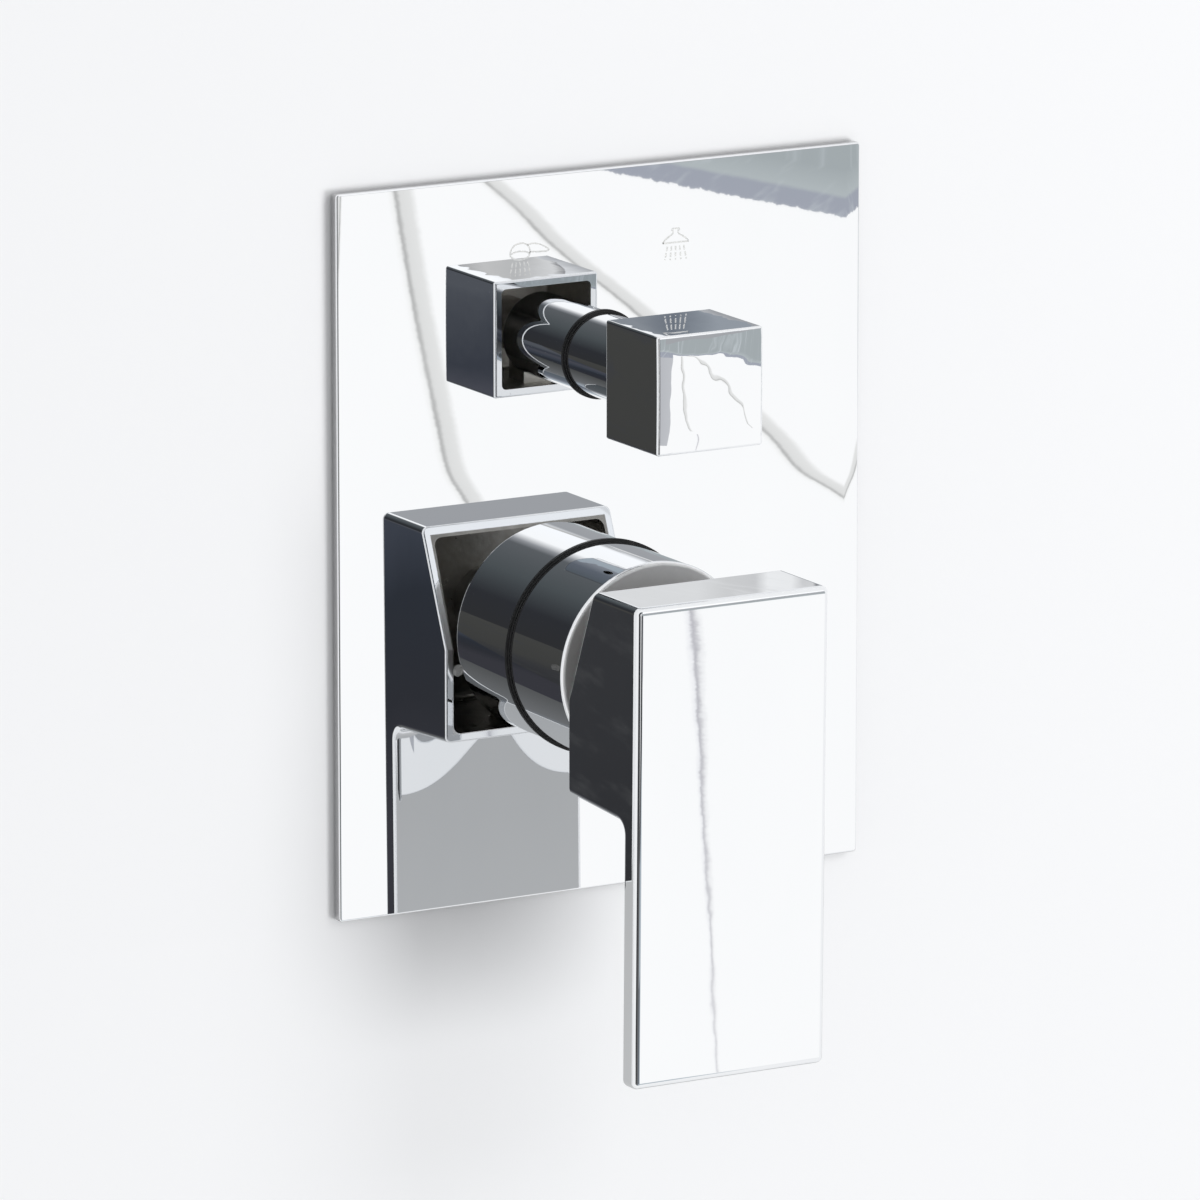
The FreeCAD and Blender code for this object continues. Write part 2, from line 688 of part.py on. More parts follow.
def spindle_room():
    """Room in the carrier for the spindle over the whole lift, in three parts."""
    slope = math.tan(math.radians(LIFT_DEGREES))
    stretch = 1 / math.cos(math.radians(LIFT_DEGREES))
    half = SPINDLE_SQUARE / 2 + LOOSE_GAP
    ahead = pivot_y - stop_front + OVERCUT
    fan = extruded([
        vec(-half, pivot_y, -half),
        vec(-half, pivot_y - ahead, -half),
        vec(-half, pivot_y - ahead, ahead * slope + half * stretch),
        vec(-half, pivot_y, half * stretch),
    ], vec(2 * half, 0, 0))
    heel_r = math.hypot(SPINDLE_HEEL, SPINDLE_SQUARE / 2) + LOOSE_GAP
    heel_room = rod_x(heel_r, -half, half, pivot_y, 0)
    thin = SPINDLE_BALL_DIAMETER / 2 + LOOSE_GAP
    behind = flange_back - pivot_y + OVERCUT
    arm_room = extruded([
        vec(-thin, pivot_y, thin),
        vec(-thin, pivot_y + behind, thin),
        vec(-thin, pivot_y + behind, -behind * slope - thin * stretch),
        vec(-thin, pivot_y, -thin * stretch),
    ], vec(2 * thin, 0, 0))
    return [fan, heel_room, arm_room]


def stem_pin():
    reach = carrier_neck_r - PIN_END_GAP
    return rod_x(PIN_DIAMETER / 2, -reach, reach, pivot_y, 0)


def lever_carrier():
    carrier = turned_y([
        (0, stop_front),
        (carrier_neck_r, stop_front),
        (carrier_neck_r, flange_front),
        (housing_in_r - LOOSE_GAP, flange_front),
        (housing_in_r - LOOSE_GAP, flange_back),
        (0, flange_back),
    ])
    tongue_half = DRIVER_TONGUE_WIDTH / 2 + SLIDE_CLEARANCE
    tongue_top = DRIVER_TONGUE_HEIGHT / 2 + LOOSE_GAP
    guide = block(-tongue_half, tongue_half,
                  driver_front - DRIVER_TONGUE - LOOSE_GAP, flange_back + OVERCUT,
                  -tongue_top - disc_travel, tongue_top)
    pin_reach = carrier_neck_r - PIN_END_GAP + FIT_CLEARANCE
    pin_hole = rod_x(PIN_DIAMETER / 2 + FIT_CLEARANCE, -pin_reach, pin_reach, pivot_y, 0)
    notch_half = TURN_DEGREES + STOP_TAB_HALF_DEGREES + STOP_MARGIN_DEGREES
    notch = ring_sector(tab_in_r - LOOSE_GAP, carrier_neck_r + OVERCUT,
                        stop_front - OVERCUT, neck_front + LOOSE_GAP, 270, notch_half)
    return carrier.cut(spindle_room() + [guide, pin_hole, notch])


# Mixing cartridge


def limit_stop():
    outer = stop_in_r + STOP_WALL
    ring = turned_y([
        (housing_neck_in_r, stop_front),
        (outer, stop_front),
        (outer, stop_back),
        (stop_in_r, stop_back),
        (stop_in_r, neck_front),
        (housing_neck_in_r, neck_front),
    ])
    tab = ring_sector(tab_in_r, stop_in_r, stop_front, neck_front, 270, STOP_TAB_HALF_DEGREES)
    return fused(ring, tab)


def cartridge_nut():
    hole = rod_y(housing_neck_r + LOOSE_GAP, nut_front - OVERCUT, shoulder + OVERCUT)
    hexagon_part = hex_y(sleeve_in_r - NUT_CORNER_GAP, nut_front, nut_seat)
    thread = rod_y(nut_thread_r - FIT_CLEARANCE, nut_seat - OVERCUT, shoulder)
    return fused(hexagon_part, thread).cut(hole)


def cartridge_housing():
    return turned_y([
        (housing_neck_in_r, neck_front),
        (housing_neck_r, neck_front),
        (housing_neck_r, shoulder),
        (cartridge_r, shoulder),
        (cartridge_r, housing_back),
        (housing_in_r, housing_back),
        (housing_in_r, cavity_front),
        (housing_neck_in_r, cavity_front),
    ])


def inlet_slots(start, stop):
    """Curved hot and cold ports, each about the closed place of the moving disc."""
    return [
        ring_sector(PORT_RADIUS - PORT_HALF_WIDTH, PORT_RADIUS + PORT_HALF_WIDTH, start, stop,
                    270 + side * PORT_SWING_DEGREES, PORT_HALF_DEGREES, disc_rise)
        for side in (-1, 1)
    ]


def mixed_port(start, stop):
    return rod_y(MIXED_PORT_DIAMETER / 2, start, stop, z=MIXED_PORT_RISE)


def foot_ports():
    """Places of the three round ports in the cartridge's foot, as (x, z)."""
    return [(-port_x, port_z), (port_x, port_z), (0.0, MIXED_PORT_RISE)]


def disc_pegs(radius, start, stop):
    return [rod_y(radius, start, stop, side * DRIVER_PEG_SPREAD, disc_rise) for side in (-1, 1)]


def disc_driver():
    plate = rod_y(MOVING_DISC_DIAMETER / 2, driver_front, driver_back, z=disc_rise)
    half_w, half_h = DRIVER_TONGUE_WIDTH / 2, DRIVER_TONGUE_HEIGHT / 2
    tongue = block(-half_w, half_w, driver_front - DRIVER_TONGUE, driver_front + OVERCUT,
                   -half_h, half_h)
    ball_r = SPINDLE_BALL_DIAMETER / 2
    pocket = block(-ball_r - SLIDE_CLEARANCE, ball_r + SLIDE_CLEARANCE,
                   driver_front - DRIVER_TONGUE - OVERCUT, driver_back - POCKET_FLOOR,
                   -ball_r - BALL_PLAY, ball_r + BALL_PLAY)
    pegs = disc_pegs(DRIVER_PEG_DIAMETER / 2, driver_back - OVERCUT,
                     driver_back + DRIVER_PEG_LENGTH)
    return fused(plate, tongue, *pegs).cut(pocket)


def moving_disc():
    disc = rod_y(MOVING_DISC_DIAMETER / 2, driver_back, moving_back, z=disc_rise)
    chamber = rod_y(MIX_CHAMBER_DIAMETER / 2, moving_back - MIX_CHAMBER_DEPTH,
                    moving_back + OVERCUT, z=disc_rise)
    holes = disc_pegs(DRIVER_PEG_DIAMETER / 2 + SLIDE_CLEARANCE, driver_back - OVERCUT,
                      driver_back + DRIVER_PEG_LENGTH + LOOSE_GAP)
    return disc.cut([chamber] + holes)


def fixed_disc():
    disc = rod_y(housing_in_r - FIXED_DISC_GAP, moving_back, fixed_back)
    start, stop = moving_back - OVERCUT, fixed_back + OVERCUT
    return disc.cut(inlet_slots(start, stop) + [mixed_port(start, stop)])


def cartridge_base():
    base = turned_y([
        (0, fixed_back),
        (housing_in_r - RUNNING_CLEARANCE, fixed_back),
        (housing_in_r - RUNNING_CLEARANCE, housing_back),
        (cartridge_r, housing_back),
        (cartridge_r, floor),
        (0, floor),
    ])
    cuts = inlet_slots(fixed_back - OVERCUT, fixed_back + FOOT_PORT_DEPTH)
    for x, z in foot_ports()[:2]:
        cuts.append(rod_y(FOOT_PORT_DIAMETER / 2, fixed_back + OVERCUT, floor + OVERCUT, x, z))
    cuts.append(mixed_port(fixed_back - OVERCUT, floor + OVERCUT))
    mean_r = BASE_SEAL_DIAMETER / 2
    half = BASE_SEAL_SECTION / 2
    for x, z in foot_ports():
        cuts.append(tube_y(mean_r + half, mean_r - half, floor - BASE_SEAL_SECTION,
                           floor + OVERCUT, x, z))
    return base.cut(cuts)


def base_seals():
    return Part.makeCompound([
        o_ring_y(BASE_SEAL_DIAMETER / 2, BASE_SEAL_SECTION, floor - BASE_SEAL_SECTION / 2, x, z)
        for x, z in foot_ports()
    ])


# Pressure balance unit


def liner_ring_places():
    between = (SUPPLY_OFFSET + port_x) / 2
    return [-between, 0.0, between]


def balance_sleeve():
    liner = tube_x(liner_r, liner_in_r, -balance_end, balance_end, balance_y, balance_z)
    cuts = []
    for x in (-SUPPLY_OFFSET, -port_x, port_x, SUPPLY_OFFSET):
        half = LINER_SLOT / 2
        cuts.append(tube_x(liner_r + OVERCUT, liner_r - LINER_RECESS, x - half, x + half,
                           balance_y, balance_z))
        half = LINER_WINDOW / 2
        span = LINER_WINDOW_SPAN / 2
        reach = liner_r + OVERCUT
        cuts.append(block(x - half, x + half, balance_y - span, balance_y + span,
                          balance_z - reach, balance_z + reach))
    floor_r = chamber_r - LINER_RING_SECTION
    for x in liner_ring_places():
        half = LINER_RING_SECTION / 2
        cuts.append(tube_x(liner_r + OVERCUT, floor_r, x - half, x + half, balance_y, balance_z))
    return liner.cut(cuts)


def balance_o_rings():
    mean_r = chamber_r - LINER_RING_SECTION / 2
    return Part.makeCompound([
        o_ring_x(mean_r, LINER_RING_SECTION, x, balance_y, balance_z)
        for x in liner_ring_places()
    ])


def balance_spool():
    waist_r = SPOOL_WAIST_DIAMETER / 2
    end = balance_end - SPOOL_TRAVEL
    land = SPOOL_CENTRE_LAND / 2
    spool = turned_x([
        (0, -end),
        (spool_r, -end),
        (spool_r, -SUPPLY_OFFSET),
        (waist_r, -SUPPLY_OFFSET),
        (waist_r, -land),
        (spool_r, -land),
        (spool_r, land),
        (waist_r, land),
        (waist_r, SUPPLY_OFFSET),
        (spool_r, SUPPLY_OFFSET),
        (spool_r, end),
        (0, end),
    ], balance_y, balance_z)
    bore_r_spool = SPOOL_BORE_DIAMETER / 2
    inner = end - SPOOL_BORE_DEPTH
    cuts = [
        rod_x(bore_r_spool, -end - OVERCUT, -inner, balance_y, balance_z),
        rod_x(bore_r_spool, inner, end + OVERCUT, balance_y, balance_z),
    ]
    feed_x = inner + SPOOL_BORE_DIAMETER / 2
    for x in (-feed_x, feed_x):
        cuts.append(rod_z(SPOOL_FEED_DIAMETER / 2, balance_z - spool_r, balance_z + spool_r,
                          x, balance_y))
    return spool.cut(cuts)


def balance_cap():
    thread = rod_x(cap_thread_r - FIT_CLEARANCE, balance_end, cap_seat + OVERCUT,
                   balance_y, balance_z)
    head = hex_x(chamber_out_r, cap_seat + CAP_RING_SECTION, cap_seat + CAP_RING_SECTION
                 + CAP_HEX_HEIGHT, balance_y, balance_z)
    neck = rod_x(cap_thread_r - CAP_THREAD_STEP, cap_seat, cap_seat + CAP_RING_SECTION + OVERCUT,
                 balance_y, balance_z)
    ring_room = tube_x(chamber_out_r, cap_thread_r - CAP_THREAD_STEP, cap_seat,
                       cap_seat + CAP_RING_SECTION, balance_y, balance_z)
    return fused(thread.cut(ring_room), head, neck)


def cap_o_ring():
    mean_r = cap_thread_r - CAP_THREAD_STEP + CAP_RING_SECTION / 2
    return o_ring_x(mean_r, CAP_RING_SECTION, cap_seat + CAP_RING_SECTION / 2,
                    balance_y, balance_z)


# Diverter


def diverter_headpart():
    head = turned_y([
        (stem_bore_r, head_neck_front),
        (stem_neck_r, head_neck_front),
        (stem_neck_r, head_seat),
        (head_thread_r - FIT_CLEARANCE, head_seat),
        (head_thread_r - FIT_CLEARANCE, cage_front),
        (cage_r, cage_front),
        (cage_r, cage_back),
        (cage_in_r, cage_back),
        (cage_in_r, cage_cavity_front),
        (stem_bore_r, cage_cavity_front),
    ], stem_z)
    hexagon_part = hex_y(head_thread_r + HEADPART_HEX_STEP, HEADPART_FRONT, head_seat, stem_z)
    hexagon_part = hexagon_part.cut(rod_y(stem_neck_r - FIT_CLEARANCE, HEADPART_FRONT - OVERCUT,
                                          head_seat + OVERCUT, z=stem_z))
    head = fused(head, hexagon_part)
    ring_y = HEADPART_FRONT - STEM_RING_SETBACK
    half = STEM_RING_SECTION / 2
    groove = tube_y(stem_neck_r + OVERCUT, stem_sleeve_in_r - STEM_RING_SECTION,
                    ring_y - half, ring_y + half, z=stem_z)
    half_w = HEADPART_WINDOW_WIDTH / 2
    window_start = stem_fixed_front - HEADPART_WINDOW
    windows = block(-cage_r - OVERCUT, cage_r + OVERCUT, window_start, stem_fixed_front,
                    stem_z - half_w, stem_z + half_w)
    under_head = tube_y(head_thread_r + OVERCUT, head_thread_r - HEAD_RING_SECTION,
                        head_seat, head_seat + HEAD_RING_SECTION, z=stem_z)
    return head.cut([groove, windows, under_head])


def headpart_o_ring():
    return o_ring_y(head_thread_r - HEAD_RING_SECTION / 2, HEAD_RING_SECTION,
                    head_seat + HEAD_RING_SECTION / 2, z=stem_z)


def stem_ports(start, stop):
    return [
        rod_y(DIVERTER_PORT_DIAMETER / 2, start, stop, z=stem_z + side * DIVERTER_PORT_OFFSET)
        for side in (-1, 1)
    ]


def diverter_fixed_disc():
    disc = rod_y(diverter_disc_r, stem_fixed_front, stem_fixed_back, z=stem_z)
    return disc.cut(stem_ports(stem_fixed_front - OVERCUT, stem_fixed_back + OVERCUT))


def diverter_seat_seal():
    seal = rod_y(diverter_disc_r, stem_fixed_back, diverter_floor, z=stem_z)
    return seal.cut(stem_ports(stem_fixed_back - OVERCUT, diverter_floor + OVERCUT))


def stem_tongue(grow):
    half_w = DIVERTER_TONGUE_LENGTH / 2 + grow
    half_h = DIVERTER_TONGUE_WIDTH / 2 + grow
    return block(-half_w, half_w, stem_moving_front - OVERCUT,
                 stem_moving_front + DIVERTER_TONGUE + grow, stem_z - half_h, stem_z + half_h)


def diverter_moving_disc():
    disc = rod_y(diverter_disc_r, stem_moving_front, stem_fixed_front, z=stem_z)
    notch = ring_sector(DIVERTER_NOTCH_INNER, diverter_disc_r + OVERCUT,
                        stem_moving_front + DIVERTER_TONGUE + LOOSE_GAP,
                        stem_fixed_front + OVERCUT, 90, DIVERTER_NOTCH_HALF_DEGREES, stem_z)
    return disc.cut(notch).cut(stem_tongue(SLIDE_CLEARANCE))


def diverter_spindle():
    half = DIVERTER_SQUARE / 2
    square_back = knob_back + LOOSE_GAP
    square = block(-half, half, stem_front, square_back + OVERCUT, stem_z - half, stem_z + half)
    ring_floor = stem_bore_r - SHAFT_CLEARANCE - STEM_O_RING_SECTION
    ring_y = HEADPART_FRONT - STEM_O_RING_SETBACK
    ring_half = STEM_O_RING_SECTION / 2
    clip_r = stem_shaft_r - CIRCLIP_GROOVE
    shaft = turned_y([
        (0, square_back),
        (stem_shaft_r, square_back),
        (stem_shaft_r, circlip_front),
        (clip_r, circlip_front),
        (clip_r, circlip_back),
        (stem_shaft_r, circlip_back),
        (stem_shaft_r, ring_y - ring_half),
        (ring_floor, ring_y - ring_half),
        (ring_floor, ring_y + ring_half),
        (stem_shaft_r, ring_y + ring_half),
        (stem_shaft_r, stem_flange_front),
        (diverter_disc_r, stem_flange_front),
        (diverter_disc_r, stem_moving_front),
        (0, stem_moving_front),
    ], stem_z)
    return fused(shaft, square, stem_tongue(0))


def spindle_o_ring():
    mean_r = stem_bore_r - SHAFT_CLEARANCE - STEM_O_RING_SECTION / 2
    return o_ring_y(mean_r, STEM_O_RING_SECTION, HEADPART_FRONT - STEM_O_RING_SETBACK, z=stem_z)


def spindle_circlip():
    return ring_sector(stem_shaft_r - CIRCLIP_GROOVE, CIRCLIP_DIAMETER / 2, circlip_front,
                       circlip_back, 90, 180 - CIRCLIP_MOUTH_DEGREES, stem_z)


def diverter_knob():
    half = KNOB_SIZE / 2
    knob = block(-half, half, knob_front, knob_back, stem_z - half, stem_z + half)
    knob = knob.common(Part.makeSphere(KNOB_CROWN_RADIUS, vec(0, knob_front + KNOB_CROWN_RADIUS, stem_z)))
    knob = knob.makeFillet(KNOB_EDGE_ROUND, knob.Edges)
    socket_half = DIVERTER_SQUARE / 2 + SOCKET_CLEARANCE
    socket = block(-socket_half, socket_half, stem_front - LOOSE_GAP, knob_back + OVERCUT,
                   stem_z - socket_half, stem_z + socket_half)
    screw_hole = rod_z(KNOB_SCREW_DIAMETER / 2 + FIT_CLEARANCE, stem_z - half - OVERCUT, stem_z,
                       0, knob_screw_y)
    return knob.cut(knob_hollow(half)).cut([socket, screw_hole])


def knob_hollow(half):
    """Room behind the knob's front, less the boss for the spindle and the pillar for its screw."""
    inner_end = knob_front + KNOB_FRONT_WALL
    reach = half - KNOB_WALL
    room = hollow_y(reach, stem_z - reach, stem_z + reach, inner_end, knob_back + OVERCUT,
                    KNOB_DRAFT_DEGREES, KNOB_HOLLOW_ROUND)
    boss = rod_y(KNOB_BOSS_DIAMETER / 2, inner_end - OVERCUT, knob_back - KNOB_BOSS_INSET, z=stem_z)
    pillar_half = KNOB_SCREW_DIAMETER / 2 + KNOB_PILLAR_WALL
    pillar = block(-pillar_half, pillar_half, knob_screw_y - pillar_half,
                   knob_screw_y + pillar_half, stem_z - half, stem_z)
    return room.cut(boss).cut(pillar)


def knob_set_screw():
    top = stem_z - DIVERTER_SQUARE / 2
    return rod_z(KNOB_SCREW_DIAMETER / 2, top - KNOB_SCREW_LENGTH, top, 0, knob_screw_y)


# Body casting and its bracket


def pipe_end_x(side, reach, z):
    """Pipe with hex collar and male thread along X; side is -1 for left, 1 for right."""
    spans = [(0.0, reach), (reach - COLLAR_WIDTH, reach), (reach - OVERCUT, reach + PIPE_THREAD)]
    (a0, a1), (b0, b1), (c0, c1) = [tuple(sorted((side * a, side * b))) for a, b in spans]
    return [
        rod_x(pipe_r, a0, a1, pipe_y, z),
        hex_x(collar_r, b0, b1, pipe_y, z),
        rod_x(PIPE_THREAD_DIAMETER / 2, c0, c1, pipe_y, z),
    ]


def pipe_bore_x(side, start, reach, z):
    low, high = sorted((side * start, side * (reach + PIPE_THREAD + OVERCUT)))
    return rod_x(PIPE_BORE_DIAMETER / 2, low, high, pipe_y, z)


def body_forms():
    """Outer forms of the casting."""
    taper_start = floor + BARREL_FLOOR
    rear_r = BARREL_REAR_DIAMETER / 2
    barrel = turned_y([
        (0, barrel_front),
        (neck_r, barrel_front),
        (neck_r, barrel_shoulder),
        (barrel_r, barrel_shoulder),
        (barrel_r, taper_start),
        (rear_r, taper_start + BARREL_TAPER),
        (rear_r, body_back),
        (0, body_back),
    ])
    barrel = barrel.makeFillet(CAST_ROUND, rims_y(barrel, barrel_r, [barrel_shoulder, taper_start]))
    diverter_rear_r = DIVERTER_REAR_DIAMETER / 2
    diverter_back = pipe_y + DIVERTER_REAR_COVER
    diverter_barrel = turned_y([
        (0, head_seat),
        (diverter_barrel_r, head_seat),
        (diverter_barrel_r, diverter_floor + DIVERTER_BARREL_WALL),
        (diverter_rear_r, diverter_floor + 2 * DIVERTER_BARREL_WALL),
        (diverter_rear_r, diverter_back),
        (0, diverter_back),
    ], stem_z)
    diverter_rims = rims_y(diverter_barrel, diverter_barrel_r,
                           [head_seat, diverter_floor + DIVERTER_BARREL_WALL], stem_z)
    diverter_rims += rims_y(diverter_barrel, diverter_rear_r, [diverter_back], stem_z)
    diverter_barrel = diverter_barrel.makeFillet(CAST_ROUND, diverter_rims)
    riser_out_r = RISER_BORE_DIAMETER / 2 + RISER_WALL
    riser = rod_z(riser_out_r, 0, stem_z - diverter_chamber_r, 0, riser_y)
    rib = block(-RIB_WIDTH / 2, RIB_WIDTH / 2, riser_y, body_back, 0, stem_z - diverter_rear_r)
    chamber_start = -balance_end - CHAMBER_WALL
    chamber = rod_x(chamber_out_r, chamber_start, cap_seat, balance_y, balance_z)
    closed_end = edges_where(chamber, lambda e: all_vertices(e, lambda p: near(p.x, chamber_start)))
    chamber = chamber.makeFillet(CAST_ROUND, closed_end)
    forms = [barrel, diverter_barrel, riser, rib, chamber]
    for side in (-1, 1):
        forms += pipe_end_x(side, INLET_REACH, 0)
        supply_r = SUPPLY_BORE_DIAMETER / 2 + PIPE_WALL
        forms.append(rod_z(supply_r, balance_z, 0, side * SUPPLY_OFFSET, pipe_y))
        feed_r = FOOT_PORT_DIAMETER / 2 + PIPE_WALL
        forms.append(rod_z(feed_r, balance_z, port_z, side * port_x, riser_y))
    forms += pipe_end_x(-1, LEFT_OUTLET_REACH, left_outlet_z)
    top = stem_z + TOP_OUTLET_REACH
    forms += [
        rod_z(pipe_r, stem_z, top, 0, pipe_y),
        hex_z(collar_r, top - COLLAR_WIDTH, top, 0, pipe_y),
        rod_z(PIPE_THREAD_DIAMETER / 2, top - OVERCUT, top + PIPE_THREAD, 0, pipe_y),
    ]
    return forms


def body_waterways():
    """Bores and passages of the casting."""
    cuts = [
        rod_y(bore_r, barrel_front - OVERCUT, floor),
        rod_y(nut_thread_r, barrel_front - OVERCUT, shoulder),
        rod_x(chamber_r, -balance_end, cap_seat + OVERCUT, balance_y, balance_z),
        rod_x(cap_thread_r, balance_end, cap_seat + OVERCUT, balance_y, balance_z),
        rod_y(head_thread_r, head_seat - OVERCUT, cage_front, z=stem_z),
        rod_y(diverter_chamber_r, cage_front - OVERCUT, diverter_floor, z=stem_z),
    ]
    feed_r = FOOT_PORT_DIAMETER / 2
    for side in (-1, 1):
        x = side * port_x
        cuts.append(rod_y(feed_r, floor - OVERCUT, riser_y, x, port_z))
        cuts.append(rod_z(feed_r, balance_z, port_z + feed_r, x, riser_y))
        cuts.append(pipe_bore_x(side, SUPPLY_OFFSET, INLET_REACH, 0))
        cuts.append(rod_z(SUPPLY_BORE_DIAMETER / 2, balance_z, 0, side * SUPPLY_OFFSET, pipe_y))
    cuts.append(mixed_port(floor - OVERCUT, riser_y))
    riser_r = RISER_BORE_DIAMETER / 2
    cuts.append(rod_z(riser_r, MIXED_PORT_RISE - riser_r / 2, stem_z - diverter_chamber_r
                      + riser_r / 2, 0, riser_y))
    cuts += stem_ports(diverter_floor - OVERCUT, pipe_y)
    cuts.append(pipe_bore_x(-1, -PIPE_BORE_DIAMETER / 4, LEFT_OUTLET_REACH, left_outlet_z))
    top_end = stem_z + TOP_OUTLET_REACH + PIPE_THREAD + OVERCUT
    cuts.append(rod_z(PIPE_BORE_DIAMETER / 2, stem_z + TOP_BORE_START, top_end, 0, pipe_y))
    ring_y = barrel_shoulder - GRIP_RING_SETBACK
    half = GRIP_RING_SECTION / 2
    cuts.append(tube_y(neck_r + OVERCUT, sleeve_in_r - GRIP_RING_SECTION,
                       ring_y - half, ring_y + half))
    shank_r = BRACKET_SCREW_DIAMETER / 2 + FIT_CLEARANCE
    depth = bracket_back - BRACKET_SCREW_LENGTH
    for z in bracket_screw_rises():
        cuts.append(rod_y(shank_r, depth, body_back + OVERCUT, z=z))
    return cuts


def valve_body():
    forms = body_forms()
    return fused(*forms).cut(body_waterways())


def bracket_screw_rises():
    return [-BRACKET_SCREW_RISE, BRACKET_SCREW_RISE, RIB_SCREW_RISE]


def bracket_screw(z, grow):
    """Countersunk screw from behind, larger all round by grow for its hole."""
    shank = BRACKET_SCREW_DIAMETER / 2 + grow
    head = BRACKET_SCREW_HEAD / 2 + grow
    taper_end = bracket_back - (head - shank)
    return turned_y([
        (0, bracket_back - BRACKET_SCREW_LENGTH),
        (shank, bracket_back - BRACKET_SCREW_LENGTH),
        (shank, taper_end),
        (head, bracket_back),
        (0, bracket_back),
    ], z)


def mounting_bracket():
    half_w, half_h = BRACKET_WIDTH / 2, BRACKET_HEIGHT / 2
    plate = block(-half_w, half_w, body_back, bracket_back,
                  BRACKET_CENTRE_RISE - half_h, BRACKET_CENTRE_RISE + half_h)
    plate = plate.makeFillet(BRACKET_CORNER_ROUND, edges_where(plate, lambda e: runs_along(e, "y")))
    start, stop = body_back - OVERCUT, bracket_back + OVERCUT
    cuts = [bracket_screw(z, FIT_CLEARANCE) for z in bracket_screw_rises()]
    for side in (-1, 1):
        for end in (-1, 1):
            cuts.append(rod_y(STUD_HOLE_DIAMETER / 2, start, stop, side * STUD_SPACING_X / 2,
                              BRACKET_CENTRE_RISE + end * STUD_SPACING_Z / 2))
        middle = side * BRACKET_WINDOW_OFFSET
        half = BRACKET_WINDOW_WIDTH / 2
        tall = BRACKET_WINDOW_HEIGHT / 2
        cuts.append(block(middle - half, middle + half, start, stop,
                          BRACKET_CENTRE_RISE - tall, BRACKET_CENTRE_RISE + tall))
    return plate.cut(cuts)


def bracket_screws():
    return Part.makeCompound([bracket_screw(z, 0) for z in bracket_screw_rises()])


PIECES = {
    "cover_plate": cover_plate,
    "plate_gasket": plate_gasket,
    "sleeve_seal": lambda: sleeve_ring(sleeve_r, 0),
    "stem_seal": lambda: sleeve_ring(stem_sleeve_r, stem_z),
    "lever_sleeve": lever_sleeve,
    "sleeve_grip_ring": sleeve_grip_ring,
    "diverter_sleeve": diverter_sleeve,
    "stem_grip_ring": stem_grip_ring,
    "lever_handle": lever_handle,
    "lever_set_screw": lever_set_screw,
    "lever_screw_cap": lever_screw_cap,
    "lever_spindle": lever_spindle,
    "stem_pin": stem_pin,
    "lever_carrier": lever_carrier,
    "limit_stop": limit_stop,
    "cartridge_nut": cartridge_nut,
    "cartridge_housing": cartridge_housing,
    "disc_driver": disc_driver,
    "moving_disc": moving_disc,
    "fixed_disc": fixed_disc,
    "cartridge_base": cartridge_base,
    "base_seals": base_seals,
    "balance_sleeve": balance_sleeve,
    "balance_o_rings": balance_o_rings,
    "balance_spool": balance_spool,
    "balance_cap": balance_cap,
    "cap_o_ring": cap_o_ring,
    "diverter_headpart": diverter_headpart,
    "headpart_o_ring": headpart_o_ring,
    "diverter_fixed_disc": diverter_fixed_disc,
    "diverter_seat_seal": diverter_seat_seal,
    "diverter_moving_disc": diverter_moving_disc,
    "diverter_spindle": diverter_spindle,
    "spindle_o_ring": spindle_o_ring,
    "spindle_circlip": spindle_circlip,
    "diverter_knob": diverter_knob,
    "knob_set_screw": knob_set_screw,
    "valve_body": valve_body,
    "mounting_bracket": mounting_bracket,
    "bracket_screws": bracket_screws,
}


def main():
    os.makedirs("parts", exist_ok=True)
    for node, make in PIECES.items():
        shape = make()
        shape.exportStep(os.path.join("parts", node + ".step"))


main()
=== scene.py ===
"""Looks of the pressure balance shower valve: finishes, marks, detail pieces, studio and camera."""

import logging
import math
from dataclasses import dataclass, field
from enum import Enum
from typing import Any, ClassVar, Sequence

import bpy
import numpy as np
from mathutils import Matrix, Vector


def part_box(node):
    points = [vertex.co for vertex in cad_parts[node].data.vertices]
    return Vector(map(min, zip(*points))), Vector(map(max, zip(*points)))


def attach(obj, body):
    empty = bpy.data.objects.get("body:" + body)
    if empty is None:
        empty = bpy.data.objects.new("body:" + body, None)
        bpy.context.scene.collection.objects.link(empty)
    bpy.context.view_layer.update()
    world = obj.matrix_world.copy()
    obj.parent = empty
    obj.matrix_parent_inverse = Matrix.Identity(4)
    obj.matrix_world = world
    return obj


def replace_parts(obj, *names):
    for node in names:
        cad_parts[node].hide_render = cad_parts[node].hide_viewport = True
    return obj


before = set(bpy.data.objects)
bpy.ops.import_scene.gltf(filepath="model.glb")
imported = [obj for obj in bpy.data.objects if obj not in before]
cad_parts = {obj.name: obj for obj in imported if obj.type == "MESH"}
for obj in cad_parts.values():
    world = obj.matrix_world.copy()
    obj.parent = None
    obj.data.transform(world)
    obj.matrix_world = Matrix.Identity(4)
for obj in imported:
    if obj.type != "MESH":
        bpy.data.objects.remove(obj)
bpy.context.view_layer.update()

LOG = logging.getLogger("valve")
MM = 0.001
FAR = 1.0

Point = tuple[float, float, float]
Colour = tuple[float, float, float]
Span = tuple[float, float]
Tones = tuple[tuple[float, Colour], ...]
Box = tuple[Point, Point]
Path = tuple[np.ndarray, bool]
Material = bpy.types.Material
Socket = bpy.types.NodeSocket

WHITE: Colour = (1.0, 1.0, 1.0)
STEEL_TONES: tuple[Colour, Colour] = ((0.58, 0.585, 0.60), (0.42, 0.42, 0.43))
BRASS_TONES: tuple[Colour, Colour] = ((0.72, 0.54, 0.27), (0.55, 0.37, 0.16))


